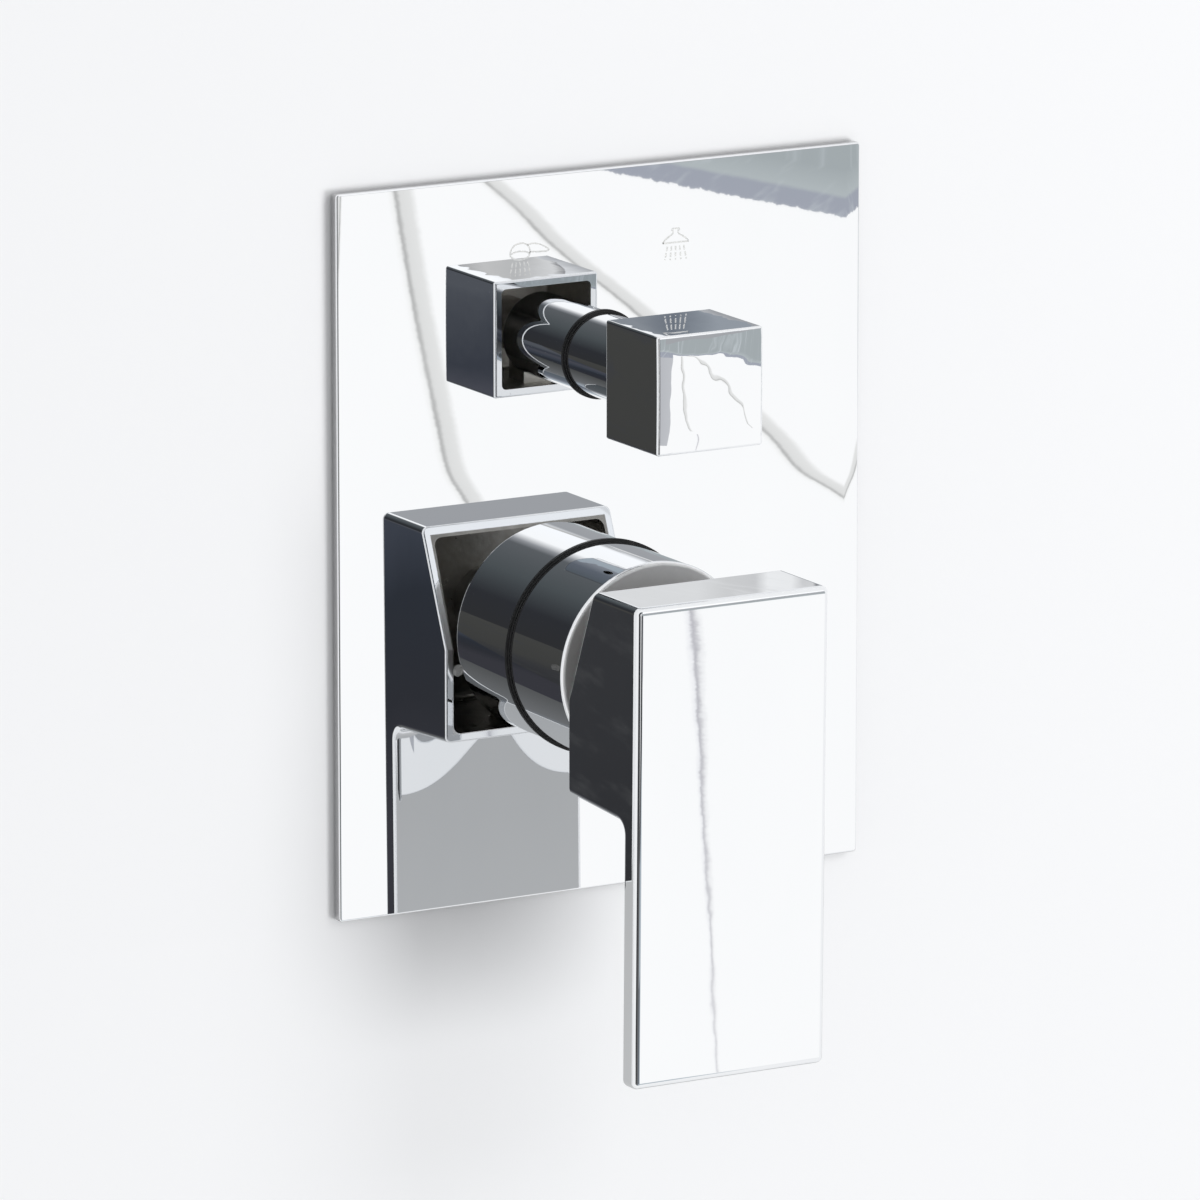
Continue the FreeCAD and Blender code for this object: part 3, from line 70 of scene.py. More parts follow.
class Slot(Enum):
    """Material slots of the record, by their names there; no new piece here takes them."""

    CHROME = "chrome"
    ZINC_STEEL = "zinc_steel"
    CAST_BRASS = "cast_brass"
    BLACK_RUBBER = "black_rubber"


class Body(Enum):
    """Bodies of the frame that new pieces ride on."""

    VALVE = "valve"
    LEVER = "lever"


class Axis(Enum):
    """Axes of turned work and ways along a card."""

    X = 0
    Y = 1
    Z = 2


# Shader graph


class Wire:
    """A value socket that takes part in Python expressions and adds Math nodes."""

    def __init__(self, graph: "Graph", socket: Socket) -> None:
        """Keeps the graph and the socket."""
        self.graph = graph
        self.socket = socket

    def _math(self, operation: str, *values: "Wire | float") -> "Wire":
        """Adds a Math node.

        Args:
            operation: The node's operation.
            values: Its inputs in order.

        Returns:
            The node's value.
        """
        node = self.graph.add("ShaderNodeMath", {"operation": operation}, dict(enumerate(values)))
        return self.graph.wire(node)

    def __add__(self, other: "Wire | float") -> "Wire":
        """Sum."""
        return self._math("ADD", self, other)

    def __radd__(self, other: float) -> "Wire":
        """Sum with a number first."""
        return self._math("ADD", other, self)

    def __sub__(self, other: "Wire | float") -> "Wire":
        """Difference."""
        return self._math("SUBTRACT", self, other)

    def __rsub__(self, other: float) -> "Wire":
        """Difference with a number first."""
        return self._math("SUBTRACT", other, self)

    def __mul__(self, other: "Wire | float") -> "Wire":
        """Product."""
        return self._math("MULTIPLY", self, other)

    def __rmul__(self, other: float) -> "Wire":
        """Product with a number first."""
        return self._math("MULTIPLY", other, self)

    def __abs__(self) -> "Wire":
        """Size without sign."""
        return self._math("ABSOLUTE", self)

    def sin(self) -> "Wire":
        """Sine."""
        return self._math("SINE", self)

    def above(self, low: float) -> "Wire":
        """The part over a floor: max(value - low, 0)."""
        return (self - low).largest(0.0)

    def largest(self, other: "Wire | float") -> "Wire":
        """The larger of two values."""
        return self._math("MAXIMUM", self, other)

    def within(self, low: float, high: float, soft: float) -> "Wire":
        """1 between two limits and 0 outside, with soft borders.

        Args:
            low: Lower limit.
            high: Upper limit.
            soft: Width of each border, outside the limits.

        Returns:
            The share inside.
        """
        return self.step(low - soft, low) * (1.0 - self.step(high, high + soft))

    def step(self, low: float, high: float) -> "Wire":
        """Smooth step from 0 at low to 1 at high.

        Args:
            low: Where the step starts.
            high: Where it ends.

        Returns:
            The step's value.
        """
        node = self.graph.add(
            "ShaderNodeMapRange",
            {"interpolation_type": "SMOOTHSTEP"},
            {0: self, 1: low, 2: high, 3: 0.0, 4: 1.0},
        )
        return self.graph.wire(node)


class Graph:
    """A node tree with one method that adds any node."""

    def __init__(self, tree: bpy.types.NodeTree) -> None:
        """Empties the tree and keeps it."""
        self.tree = tree
        tree.nodes.clear()

    def add(self, kind: str, settings: dict[str, Any] | None = None,
            inputs: dict[int | str, Any] | None = None) -> bpy.types.Node:
        """Adds a node.

        Args:
            kind: The node's type.
            settings: Its settings, set first; "stops" are a ramp's places and colours.
            inputs: Values, wires or sockets by input name or number.

        Returns:
            The node.
        """
        node = self.tree.nodes.new(kind)
        for name, value in (settings or {}).items():
            if name == "stops":
                self._set_stops(node.color_ramp, value)
            else:
                setattr(node, name, value)
        for key, value in (inputs or {}).items():
            socket = node.inputs[key]
            source = value.socket if isinstance(value, Wire) else value
            if isinstance(source, Socket):
                self.tree.links.new(source, socket)
            elif isinstance(source, tuple) and socket.type == "RGBA":
                socket.default_value = (*source, 1.0)
            else:
                socket.default_value = source
        return node

    @staticmethod
    def _set_stops(ramp: bpy.types.ColorRamp, stops: Tones) -> None:
        """Gives a ramp its places and colours.

        Args:
            ramp: The ramp.
            stops: Place and colour of each stop, in order.
        """
        while len(ramp.elements) < len(stops):
            ramp.elements.new(0.5)
        for element, (place, colour) in zip(ramp.elements, stops):
            element.position = place
            element.color = (*colour, 1.0)

    def wire(self, node: bpy.types.Node, output: int | str = 0) -> Wire:
        """A node's output as a wire."""
        return Wire(self, node.outputs[output])

    def xyz(self, vector: Socket) -> tuple[Wire, Wire, Wire]:
        """Splits a vector.

        Args:
            vector: The vector.

        Returns:
            Its three values.
        """
        node = self.add("ShaderNodeSeparateXYZ", {}, {0: vector})
        return self.wire(node, 0), self.wire(node, 1), self.wire(node, 2)

    def stretched(self, vector: Socket, scale: Point, turn: float = 0.0) -> Socket:
        """Coordinates stretched, then turned about Z, by a Mapping node.

        Args:
            vector: The coordinates.
            scale: Factor along each axis.
            turn: Angle in radians.

        Returns:
            The new coordinates.
        """
        turned = self.add("ShaderNodeMapping", {}, {"Vector": vector, "Rotation": (0.0, 0.0, turn)})
        node = self.add("ShaderNodeMapping", {}, {"Vector": turned.outputs[0], "Scale": scale})
        return node.outputs[0]

    def noise(self, vector: Socket, scale: float, detail: float = 2.0, rough: float = 0.5) -> Wire:
        """Noise about 0.5.

        Args:
            vector: Coordinates.
            scale: Waves per metre.
            detail: Octaves.
            rough: Share that each octave keeps.

        Returns:
            The noise.
        """
        inputs = {"Vector": vector, "Scale": scale, "Detail": detail, "Roughness": rough}
        return self.wire(self.add("ShaderNodeTexNoise", {}, inputs), "Fac")

    def blend(self, share: Wire, first: Any, second: Any) -> Socket:
        """Mixes two colours.

        Args:
            share: How much of the second colour shows.
            first: Colour or socket at 0.
            second: Colour or socket at 1.

        Returns:
            The mixed colour.
        """
        node = self.add("ShaderNodeMix", {"data_type": "RGBA"}, {0: share, 6: first, 7: second})
        return node.outputs[2]

    def bump(self, height: Wire, strength: float = 1.0) -> Socket:
        """Normal of a surface with a height in metres.

        Args:
            height: The height.
            strength: How strongly it shows.

        Returns:
            The normal.
        """
        inputs = {"Height": height, "Distance": 1.0, "Strength": strength}
        return self.add("ShaderNodeBump", {}, inputs).outputs[0]

    def surface(self, **inputs: Any) -> None:
        """Ends the tree in a Principled shader with the given inputs, underscores for spaces."""
        named = {name.replace("_", " "): value for name, value in inputs.items()}
        shader = self.add("ShaderNodeBsdfPrincipled", {}, named)
        self.add("ShaderNodeOutputMaterial", {}, {"Surface": shader.outputs[0]})


# Finishes


@dataclass(frozen=True)
class Finish:
    """A procedural finish: its name, and the nodes that each kind lays on a piece's coordinates."""

    name: str
    space: ClassVar[str] = "Object"

    def lay(self, graph: Graph, place: Socket) -> None:
        """Lays the finish's nodes.

        Args:
            graph: The material's graph.
            place: Coordinates on the piece.
        """
        raise NotImplementedError

    def build(self) -> Material:
        """Builds the material."""
        material = bpy.data.materials.new(self.name)
        material.use_nodes = True
        graph = Graph(material.node_tree)
        self.lay(graph, graph.add("ShaderNodeTexCoord").outputs[self.space])
        return material


@dataclass(frozen=True)
class PolishedChrome(Finish):
    """Chrome plate, polished: faint smears in its gloss and a slight waviness of the metal below.

    In a hollow, a box given by two corners, the metal is satin, lumpy and rougher, in the satin colours: the
    rough casting in the lever and the knob, the sleeve's front face, and the plate's sides and back, whose
    darker colours are painted shade.
    """

    wave: float
    wave_scale: float
    low: Colour = (0.850, 0.862, 0.876)
    high: Colour = (0.874, 0.882, 0.892)
    hollow: Box | None = None
    hollow_soft: float = 0.2 * MM
    satin: Colour = (0.50, 0.48, 0.445)
    satin_dull: Colour = (0.34, 0.325, 0.30)
    satin_rough: float = 0.15
    satin_scale: float = 420.0
    lump: float = 0.12 * MM
    lump_scale: float = 260.0
    smear_scale: float = 38.0
    smear_step: Span = (0.52, 0.78)
    gloss: float = 0.008
    smear_rough: float = 0.012

    def height(self, graph: Graph, place: Socket) -> Wire:
        """Height of the metal in metres.

        Args:
            graph: The material's graph.
            place: Object coordinates.

        Returns:
            The height.
        """
        return (graph.noise(place, self.wave_scale) - 0.5) * self.wave

    def lay(self, graph: Graph, place: Socket) -> None:
        """Lays the nodes; arguments as in Finish."""
        smear = graph.noise(graph.stretched(place, (1.0, 1.0, 0.35)), self.smear_scale, 4.0, 0.55)
        colour = graph.blend(smear, self.low, self.high)
        rough = self.gloss + self.smear_rough * smear.step(*self.smear_step)
        height = self.height(graph, place)
        if self.hollow:
            grain = graph.noise(place, self.satin_scale, 4.0, 0.6)
            inside = None
            for along, low, high in zip(graph.xyz(place), *self.hollow):
                held = along.within(low, high, self.hollow_soft)
                inside = held if inside is None else inside * held
            colour = graph.blend(inside, colour, graph.blend(grain, self.satin, self.satin_dull))
            rough = rough + inside * (self.satin_rough + 0.14 * grain)
            height = height + inside * (graph.noise(place, self.lump_scale, 3.0) - 0.5) * self.lump
        graph.surface(Base_Color=colour, Metallic=1.0, Roughness=rough, Normal=graph.bump(height))


@dataclass(frozen=True)
class RolledChrome(PolishedChrome):
    """Chrome on a face that polishing has bent a little towards its borders.

    Past the flat half sizes the height falls by bend * over^2 / 2, or rises where the bend is negative.
    """

    centre: Span = (0.0, 0.0)
    flat: Span = (0.05, 0.05)
    bend: Span = (0.0, 0.0)

    def height(self, graph: Graph, place: Socket) -> Wire:
        """Height with the bent borders; arguments as in PolishedChrome."""
        x, _, z = graph.xyz(place)
        over_x = abs(x - self.centre[0]).above(self.flat[0])
        over_z = abs(z - self.centre[1]).above(self.flat[1])
        fall = over_x * over_x * (0.5 * self.bend[0]) + over_z * over_z * (0.5 * self.bend[1])
        return super().height(graph, place) - fall


@dataclass(frozen=True)
class CastBrass(Finish):
    """Sand-cast brass: a grainy skin, brown in patches, brighter where it is rubbed or machined.

    The pipe ends past side_cut and top_cut, the front past face_cut and the back past back_cut are machined.
    """

    name: str = "cast_brass_skin"
    fresh: Colour = (0.62, 0.44, 0.20)
    dull: Colour = (0.36, 0.24, 0.105)
    cut: Colour = (0.74, 0.56, 0.28)
    side_cut: float = 45.5 * MM
    top_cut: float = 103.0 * MM
    face_cut: float = -13.6 * MM
    back_cut: float = 49.6 * MM
    soft: float = 0.4 * MM
    patch_scale: float = 55.0
    rubbed_step: Span = (0.42, 0.66)
    grain_scale: float = 1600.0
    grain_height: float = 0.16 * MM
    swell_scale: float = 160.0
    swell_height: float = 0.5 * MM

    def lay(self, graph: Graph, place: Socket) -> None:
        """Lays the nodes; arguments as in Finish."""
        x, y, z = graph.xyz(place)
        patches = graph.noise(place, self.patch_scale, 5.0, 0.6)
        grain = graph.noise(place, self.grain_scale, 3.0, 0.6)
        swell = graph.noise(place, self.swell_scale)
        rubbed = patches.step(*self.rubbed_step)
        ends = abs(x).step(self.side_cut, self.side_cut + self.soft)
        ends = ends.largest(z.step(self.top_cut, self.top_cut + self.soft))
        ends = ends.largest(y.step(self.back_cut, self.back_cut + self.soft))
        machined = ends.largest(1.0 - y.step(self.face_cut - self.soft, self.face_cut))
        skin = graph.blend(rubbed, self.dull, self.fresh)
        cast = 1.0 - machined
        graph.surface(
            Base_Color=graph.blend(machined, skin, self.cut),
            Metallic=0.9,
            Roughness=(0.58 - 0.16 * rubbed + 0.10 * grain) * cast + (0.26 + 0.10 * patches) * machined,
            Normal=graph.bump((grain * self.grain_height + swell * self.swell_height) * cast, 0.7),
        )


@dataclass(frozen=True)
class TurnedMetal(Finish):
    """Metal off the lathe: fine tool rings along the axis it was turned about, and faint stains."""

    axis: Axis
    bright: Colour
    stained: Colour
    pitch: float = 0.28e-3
    groove: float = 5.0e-6
    rough: float = 0.24
    stain_scale: float = 120.0
    stain_step: Span = (0.45, 0.75)

    def lay(self, graph: Graph, place: Socket) -> None:
        """Lays the nodes; arguments as in Finish."""
        along = graph.xyz(place)[self.axis.value]
        rings = (along * (2 * math.pi / self.pitch)).sin()
        shade = graph.noise(place, self.stain_scale, 4.0, 0.6).step(*self.stain_step)
        graph.surface(
            Base_Color=graph.blend(shade, self.bright, self.stained),
            Metallic=1.0,
            Roughness=self.rough + 0.14 * shade + 0.03 * rings,
            Normal=graph.bump(rings * self.groove),
        )


@dataclass(frozen=True)
class ZincSheet(Finish):
    """Zinc plated steel sheet: rolled grain along Z, crystal patches and a slight bloom."""

    name: str = "zinc_sheet"
    bright: Colour = (0.60, 0.615, 0.64)
    bloom: Colour = (0.44, 0.455, 0.47)
    crystal_scale: float = 170.0
    grain_scale: float = 2600.0
    grain_height: float = 9.0e-6
    cloud_scale: float = 45.0
    cloud_step: Span = (0.35, 0.7)

    def lay(self, graph: Graph, place: Socket) -> None:
        """Lays the nodes; arguments as in Finish."""
        crystals = graph.add("ShaderNodeTexVoronoi", {}, {"Vector": place, "Scale": self.crystal_scale})
        patch = graph.wire(graph.add("ShaderNodeRGBToBW", {}, {0: crystals.outputs["Color"]}))
        rolled = graph.noise(graph.stretched(place, (1.0, 1.0, 0.03)), self.grain_scale, 3.0)
        cloud = graph.noise(place, self.cloud_scale, 3.0).step(*self.cloud_step)
        graph.surface(
            Base_Color=graph.blend(0.45 * patch + 0.5 * cloud, self.bright, self.bloom),
            Metallic=1.0,
            Roughness=0.27 + 0.14 * patch + 0.10 * cloud,
            Normal=graph.bump(rolled * self.grain_height),
        )


@dataclass(frozen=True)
class ScrewZinc(Finish):
    """Zinc plated screws whose heads look towards +Y: a faint stain on the face, and painted shade in the
    recess.
    """

    face: float
    bright: Colour = (0.66, 0.64, 0.57)
    stained: Colour = (0.56, 0.54, 0.475)
    recess_shade: Colour = (0.060, 0.058, 0.054)
    depth: float = 0.6 * MM
    stain_scale: float = 500.0
    stain_step: Span = (0.4, 0.7)
    stain_height: float = 2.0e-6

    def lay(self, graph: Graph, place: Socket) -> None:
        """Lays the nodes; arguments as in Finish."""
        stain = graph.noise(place, self.stain_scale, 4.0, 0.6).step(*self.stain_step)
        # Painted shade: the colour darkens from the head's face down into the recess, over depth.
        unshaded = graph.xyz(place)[1].step(self.face - self.depth, self.face)
        graph.surface(
            Base_Color=graph.blend(unshaded, self.recess_shade, graph.blend(stain, self.bright, self.stained)),
            Metallic=1.0,
            Roughness=0.58 - 0.3 * unshaded + 0.1 * stain,
            Normal=graph.bump(stain * self.stain_height),
        )


@dataclass(frozen=True)
class Rubber(Finish):
    """Black rubber: a matt skin with fine pores and a little dust."""

    name: str = "black_rubber_skin"
    skin: Colour = (0.006, 0.006, 0.0065)
    dust: Colour = (0.022, 0.0215, 0.021)
    rough: float = 0.40
    pore: float = 14.0e-6
    pore_scale: float = 3200.0
    dust_scale: float = 260.0
    dust_step: Span = (0.5, 0.8)

    def lay(self, graph: Graph, place: Socket) -> None:
        """Lays the nodes; arguments as in Finish."""
        pores = graph.noise(place, self.pore_scale)
        dusty = graph.noise(place, self.dust_scale, 4.0, 0.65).step(*self.dust_step)
        graph.surface(
            Base_Color=graph.blend(dusty, self.skin, self.dust),
            Specular_IOR_Level=0.3,
            Roughness=self.rough + 0.22 * dusty,
            Normal=graph.bump(pores * self.pore),
        )


@dataclass(frozen=True)
class Foam(Finish):
    """Closed-cell foam: small round cells with soft walls, the cells darker as painted shade."""

    name: str = "gasket_foam"
    wall: Colour = (0.075, 0.077, 0.080)
    cell: Colour = (0.030, 0.031, 0.033)
    cell_scale: float = 1500.0
    cell_step: Span = (0.05, 0.6)
    cell_depth: float = 0.12 * MM
    rough: float = 0.86

    def lay(self, graph: Graph, place: Socket) -> None:
        """Lays the nodes; arguments as in Finish."""
        cells = graph.add("ShaderNodeTexVoronoi", {}, {"Vector": place, "Scale": self.cell_scale})
        # Painted shade: the pits take the darker cell colour, where the bump sinks them.
        pit = 1.0 - graph.wire(cells, "Distance").step(*self.cell_step)
        graph.surface(
            Base_Color=graph.blend(pit, self.wall, self.cell),
            Roughness=self.rough,
            Normal=graph.bump(pit * -self.cell_depth),
        )


@dataclass(frozen=True)
class MouldedPlastic(Finish):
    """Moulded plastic: faint flow marks in the colour and a fine eroded texture."""

    base: Colour
    flow: Colour
    rough: float = 0.42
    flow_scale: float = 110.0
    flow_step: Span = (0.35, 0.75)
    grit_scale: float = 2600.0
    grit_height: float = 10.0e-6

    def lay(self, graph: Graph, place: Socket) -> None:
        """Lays the nodes; arguments as in Finish."""
        marks = graph.noise(graph.stretched(place, (1.0, 0.4, 1.0)), self.flow_scale, 4.0, 0.6)
        grit = graph.noise(place, self.grit_scale)
        graph.surface(
            Base_Color=graph.blend(marks.step(*self.flow_step), self.base, self.flow),
            Roughness=self.rough + 0.12 * grit,
            Normal=graph.bump(grit * self.grit_height),
        )


@dataclass(frozen=True)
class LappedCeramic(Finish):
    """Alumina disc: dense white with fine specks, lapped to a soft gloss."""

    name: str = "lapped_alumina"
    base: Colour = (0.80, 0.79, 0.75)
    speck: Colour = (0.62, 0.61, 0.58)
    speck_scale: float = 1900.0
    speck_step: Span = (0.58, 0.72)
    lap_scale: float = 300.0
    lap_height: float = 2.0e-6

    def lay(self, graph: Graph, place: Socket) -> None:
        """Lays the nodes; arguments as in Finish."""
        specks = graph.noise(place, self.speck_scale, 3.0, 0.7).step(*self.speck_step)
        lapped = graph.noise(place, self.lap_scale, 3.0)
        graph.surface(
            Base_Color=graph.blend(specks, self.base, self.speck),
            Roughness=0.20 + 0.16 * lapped,
            Normal=graph.bump(lapped * self.lap_height),
        )


@dataclass(frozen=True)
class EtchedMark(Finish):
    """Etched lines in the chrome: a pale grey, frosted metal bottom with uneven bite."""

    name: str = "etched_mark"
    pale: Colour = (0.93, 0.925, 0.905)
    deep: Colour = (0.82, 0.815, 0.795)
    bite_scale: float = 2400.0
    bite_step: Span = (0.3, 0.7)
    bite_height: float = 6.0e-6

    def lay(self, graph: Graph, place: Socket) -> None:
        """Lays the nodes; arguments as in Finish."""
        bite = graph.noise(place, self.bite_scale, 4.0, 0.7)
        graph.surface(
            Base_Color=graph.blend(bite.step(*self.bite_step), self.pale, self.deep),
            Metallic=0.92,
            Roughness=0.12 + 0.08 * bite,
            Normal=graph.bump(bite * self.bite_height),
        )


@dataclass(frozen=True)
class WallPaint(Finish):
    """Rolled matt paint in front, clear from behind."""

    name: str = "wall_paint"
    colour: Colour = (0.90, 0.905, 0.915)
    rough: float = 0.75
    shine: float = 0.2
    grain: float = 8.0e-6
    grain_scale: float = 240.0

    def lay(self, graph: Graph, place: Socket) -> None:
        """Lays the nodes; arguments as in Finish."""
        paint = graph.add("ShaderNodeBsdfPrincipled", {}, {
            "Base Color": self.colour,
            "Roughness": self.rough,
            "Specular IOR Level": self.shine,
            "Normal": graph.bump(graph.noise(place, self.grain_scale, 3.0) * self.grain),
        })
        clear = graph.add("ShaderNodeBsdfTransparent")
        behind = graph.wire(graph.add("ShaderNodeNewGeometry"), "Backfacing")
        both = graph.add("ShaderNodeMixShader", {}, {0: behind, 1: paint.outputs[0], 2: clear.outputs[0]})
        graph.add("ShaderNodeOutputMaterial", {}, {"Surface": both.outputs[0]})


@dataclass(frozen=True)
class LitCard(Finish):
    """A studio card: a ramp of tones along one way of its own UV map, with a ragged edge and pale streaks.

    The place on the ramp is the UV value plus ragged * (noise - 0.5).
    Past fade the tones go over to the last.
    """

    space: ClassVar[str] = "UV"
    tones: Tones
    light: float = 1.0
    way: Axis = Axis.X
    ragged: float = 0.0
    grain: Point = (1.0, 1.0, 1.0)
    fade: Span | None = None
    streak: Colour | None = None
    streak_grain: Point = (1.0, 1.0, 1.0)
    streak_turn: float = 0.0
    streak_step: Span = (0.50, 0.74)

    def lay(self, graph: Graph, place: Socket) -> None:
        """Lays the nodes; arguments as in Finish, on the card's UV map."""
        ways = graph.xyz(place)
        along = ways[self.way.value]
        if self.ragged:
            edge = graph.noise(graph.stretched(place, self.grain), 1.0, 4.0, 0.65)
            along = along + (edge - 0.5) * self.ragged
        colour = graph.add("ShaderNodeValToRGB", {"stops": self.tones}, {0: along}).outputs[0]
        if self.fade:
            colour = graph.blend(ways[1].step(*self.fade), colour, self.tones[-1][1])
        if self.streak:
            lines = graph.noise(graph.stretched(place, self.streak_grain, self.streak_turn), 1.0, 3.0, 0.6)
            colour = graph.blend(lines.step(*self.streak_step), colour, self.streak)
        lit = graph.add("ShaderNodeEmission", {}, {"Color": colour, "Strength": self.light})
        graph.add("ShaderNodeOutputMaterial", {}, {"Surface": lit.outputs[0]})


# Meshes from arrays

THREAD_STEPS = 40
THREAD_START = (0.0, 0.6, 0.8)
THREAD_SUNK = 0.2
THREAD_SECTION = (-0.42, -0.12, 0.12, 0.42)
SCREW_RIM = 0.05 * MM
RECESS_FLOOR = 0.75
BEAD_STEPS = (192, 16)


@dataclass
class Shell:
    """A mesh as arrays: points and four-cornered faces."""

    points: np.ndarray
    faces: np.ndarray

    @staticmethod
    def grid_faces(rows: int, columns: int, round_rows: bool, round_columns: bool) -> np.ndarray:
        """Faces of a grid whose point (i, j) has number i * columns + j.

        Args:
            rows: Count along the first way.
            columns: Count along the second way.
            round_rows: True if the last row meets the first.
            round_columns: True if the last column meets the first.

        Returns:
            Four point numbers a face.
        """
        i = np.arange(rows if round_rows else rows - 1)
        j = np.arange(columns if round_columns else columns - 1)
        i, j = np.meshgrid(i, j, indexing="ij")
        after_i, after_j = (i + 1) % rows, (j + 1) % columns
        corners = [i * columns + j, after_i * columns + j, after_i * columns + after_j, i * columns + after_j]
        return np.stack([c.ravel() for c in corners], axis=1)

    @staticmethod
    def joined(shells: Sequence["Shell"]) -> "Shell":
        """Several shells as one.

        Args:
            shells: The shells.

        Returns:
            One shell with all their points and faces.
        """
        starts = np.cumsum([0] + [len(s.points) for s in shells[:-1]])
        faces = [s.faces + start for s, start in zip(shells, starts)]
        return Shell(np.concatenate([s.points for s in shells]), np.concatenate(faces))

    @staticmethod
    def looped(loops: Sequence[np.ndarray]) -> "Shell":
        """Closed loops joined one to the next, each end closed by a loop that lies in one point or line.

        Args:
            loops: Each loop's points, as many in each.

        Returns:
            The closed shell.
        """
        faces = Shell.grid_faces(len(loops), len(loops[0]), False, True)
        return Shell(np.concatenate(loops), faces).welded().outward()

    @staticmethod
    def carried(corners: Sequence[np.ndarray], closed: bool = False) -> "Shell":
        """A four-cornered section carried along a path, with an end face at each end of an open path.

        Args:
            corners: Each corner's points along the path.
            closed: True if the path is a ring.

        Returns:
            The closed shell.
        """
        count = len(corners[0])
        faces = Shell.grid_faces(count, 4, closed, True)
        if not closed:
            start = np.arange(4)
            faces = np.vstack([faces, start[::-1], start + 4 * (count - 1)])
        return Shell(np.stack(corners, axis=1).reshape(-1, 3), faces).outward()

    def welded(self) -> "Shell":
        """The shell with points that lie within a nanometre of each other made one."""
        _, first, same = np.unique(np.round(self.points, 9), axis=0, return_index=True, return_inverse=True)
        return Shell(self.points[first], same.reshape(-1)[self.faces])

    def outward(self) -> "Shell":
        """The shell with its faces turned outwards, by the sign of the volume that they enclose."""
        a, b, c, d = (self.points[self.faces[:, k]] for k in range(4))
        volume = np.sum(a * np.cross(b, c)) + np.sum(a * np.cross(c, d))
        return self if volume > 0 else Shell(self.points, self.faces[:, ::-1])

    def piece(self, name: str, material: Material, smooth: bool = True) -> bpy.types.Object:
        """Puts the arrays into a mesh object at the origin.

        Args:
            name: The object's name.
            material: Its finish.
            smooth: True for smooth shading.

        Returns:
            The object.
        """
        mesh = bpy.data.meshes.new(name)
        faces = [list(dict.fromkeys(face)) for face in self.faces.tolist()]
        mesh.from_pydata(self.points, [], faces)
        mesh.validate()
        mesh.materials.append(material)
        mesh.polygons.foreach_set("use_smooth", np.full(len(mesh.polygons), smooth))
        mesh.update()
        made = bpy.data.objects.new(name, mesh)
        bpy.context.scene.collection.objects.link(made)
        return made


def smooth_path(knots: Sequence[Sequence[float]], steps: int = 12, closed: bool = False) -> np.ndarray:
    """Points on a Catmull-Rom curve through knots: each span is a cubic in its four nearest knots.

    Args:
        knots: Places the curve passes.
        steps: Points per span.
        closed: True if the last span goes back to the first knot.

    Returns:
        The curve's points.
    """
    base = np.asarray(knots, float)
    around = np.vstack([base[-1:], base, base[:2]]) if closed else np.vstack([base[:1], base, base[-1:]])
    p0, p1, p2, p3 = (around[k:len(around) - 3 + k, None, :] for k in range(4))
    t = (np.arange(steps) / steps)[None, :, None]
    spans = 0.5 * (2 * p1 + (p2 - p0) * t + (2 * p0 - 5 * p1 + 4 * p2 - p3) * t ** 2
                   + (3 * p1 - p0 - 3 * p2 + p3) * t ** 3)
    curve = spans.reshape(-1, base.shape[1])
    return curve if closed else np.vstack([curve, base[-1:]])


def stroke(path: np.ndarray, width: float, face: float, proud: float, sunk: float,
           closed: bool = False) -> Shell:
    """A flat line on a wall face: a four-cornered section carried along a path in the XZ plane.

    The section's corners are the path plus and minus half the width along the path's own normal,
    at Y = face - proud and Y = face + sunk.

    Args:
        path: Points as (x, z).
        width: Width of the line.
        face: Y of the face it lies on, which looks towards -Y.
        proud: Height over the face.
        sunk: Depth below the face.
        closed: True if the path is a ring.

    Returns:
        The closed shell.
    """
    if closed:
        along = np.roll(path, -1, axis=0) - np.roll(path, 1, axis=0)
    else:
        along = np.gradient(path, axis=0)
    along /= np.linalg.norm(along, axis=1, keepdims=True)
    side = np.stack([-along[:, 1], along[:, 0]], axis=1) * (width / 2)
    left, right = path + side, path - side
    front, back = face - proud, face + sunk
    section = ((left, front), (right, front), (right, back), (left, back))
    return Shell.carried([np.insert(edge, 1, depth, axis=1) for edge, depth in section], closed)


def spot_disc(centre: Span, radius: float, face: float, proud: float, sunk: float) -> Shell:
    """A flat round spot on a wall face: a rim (radius cos a, radius sin a) and a middle, front and back.

    Args:
        centre: Middle as (x, z).
        radius: Radius.
        face: Y of the face it lies on, which looks towards -Y.
        proud: Height over the face.
        sunk: Depth below the face.

    Returns:
        The closed shell.
    """
    rim = ring_path(centre, radius)
    middle = np.broadcast_to(centre, rim.shape)
    front, back = face - proud, face + sunk
    loops = ((middle, front), (rim, front), (rim, back), (middle, back))
    return Shell.looped([np.insert(flat, 1, depth, axis=1) for flat, depth in loops])


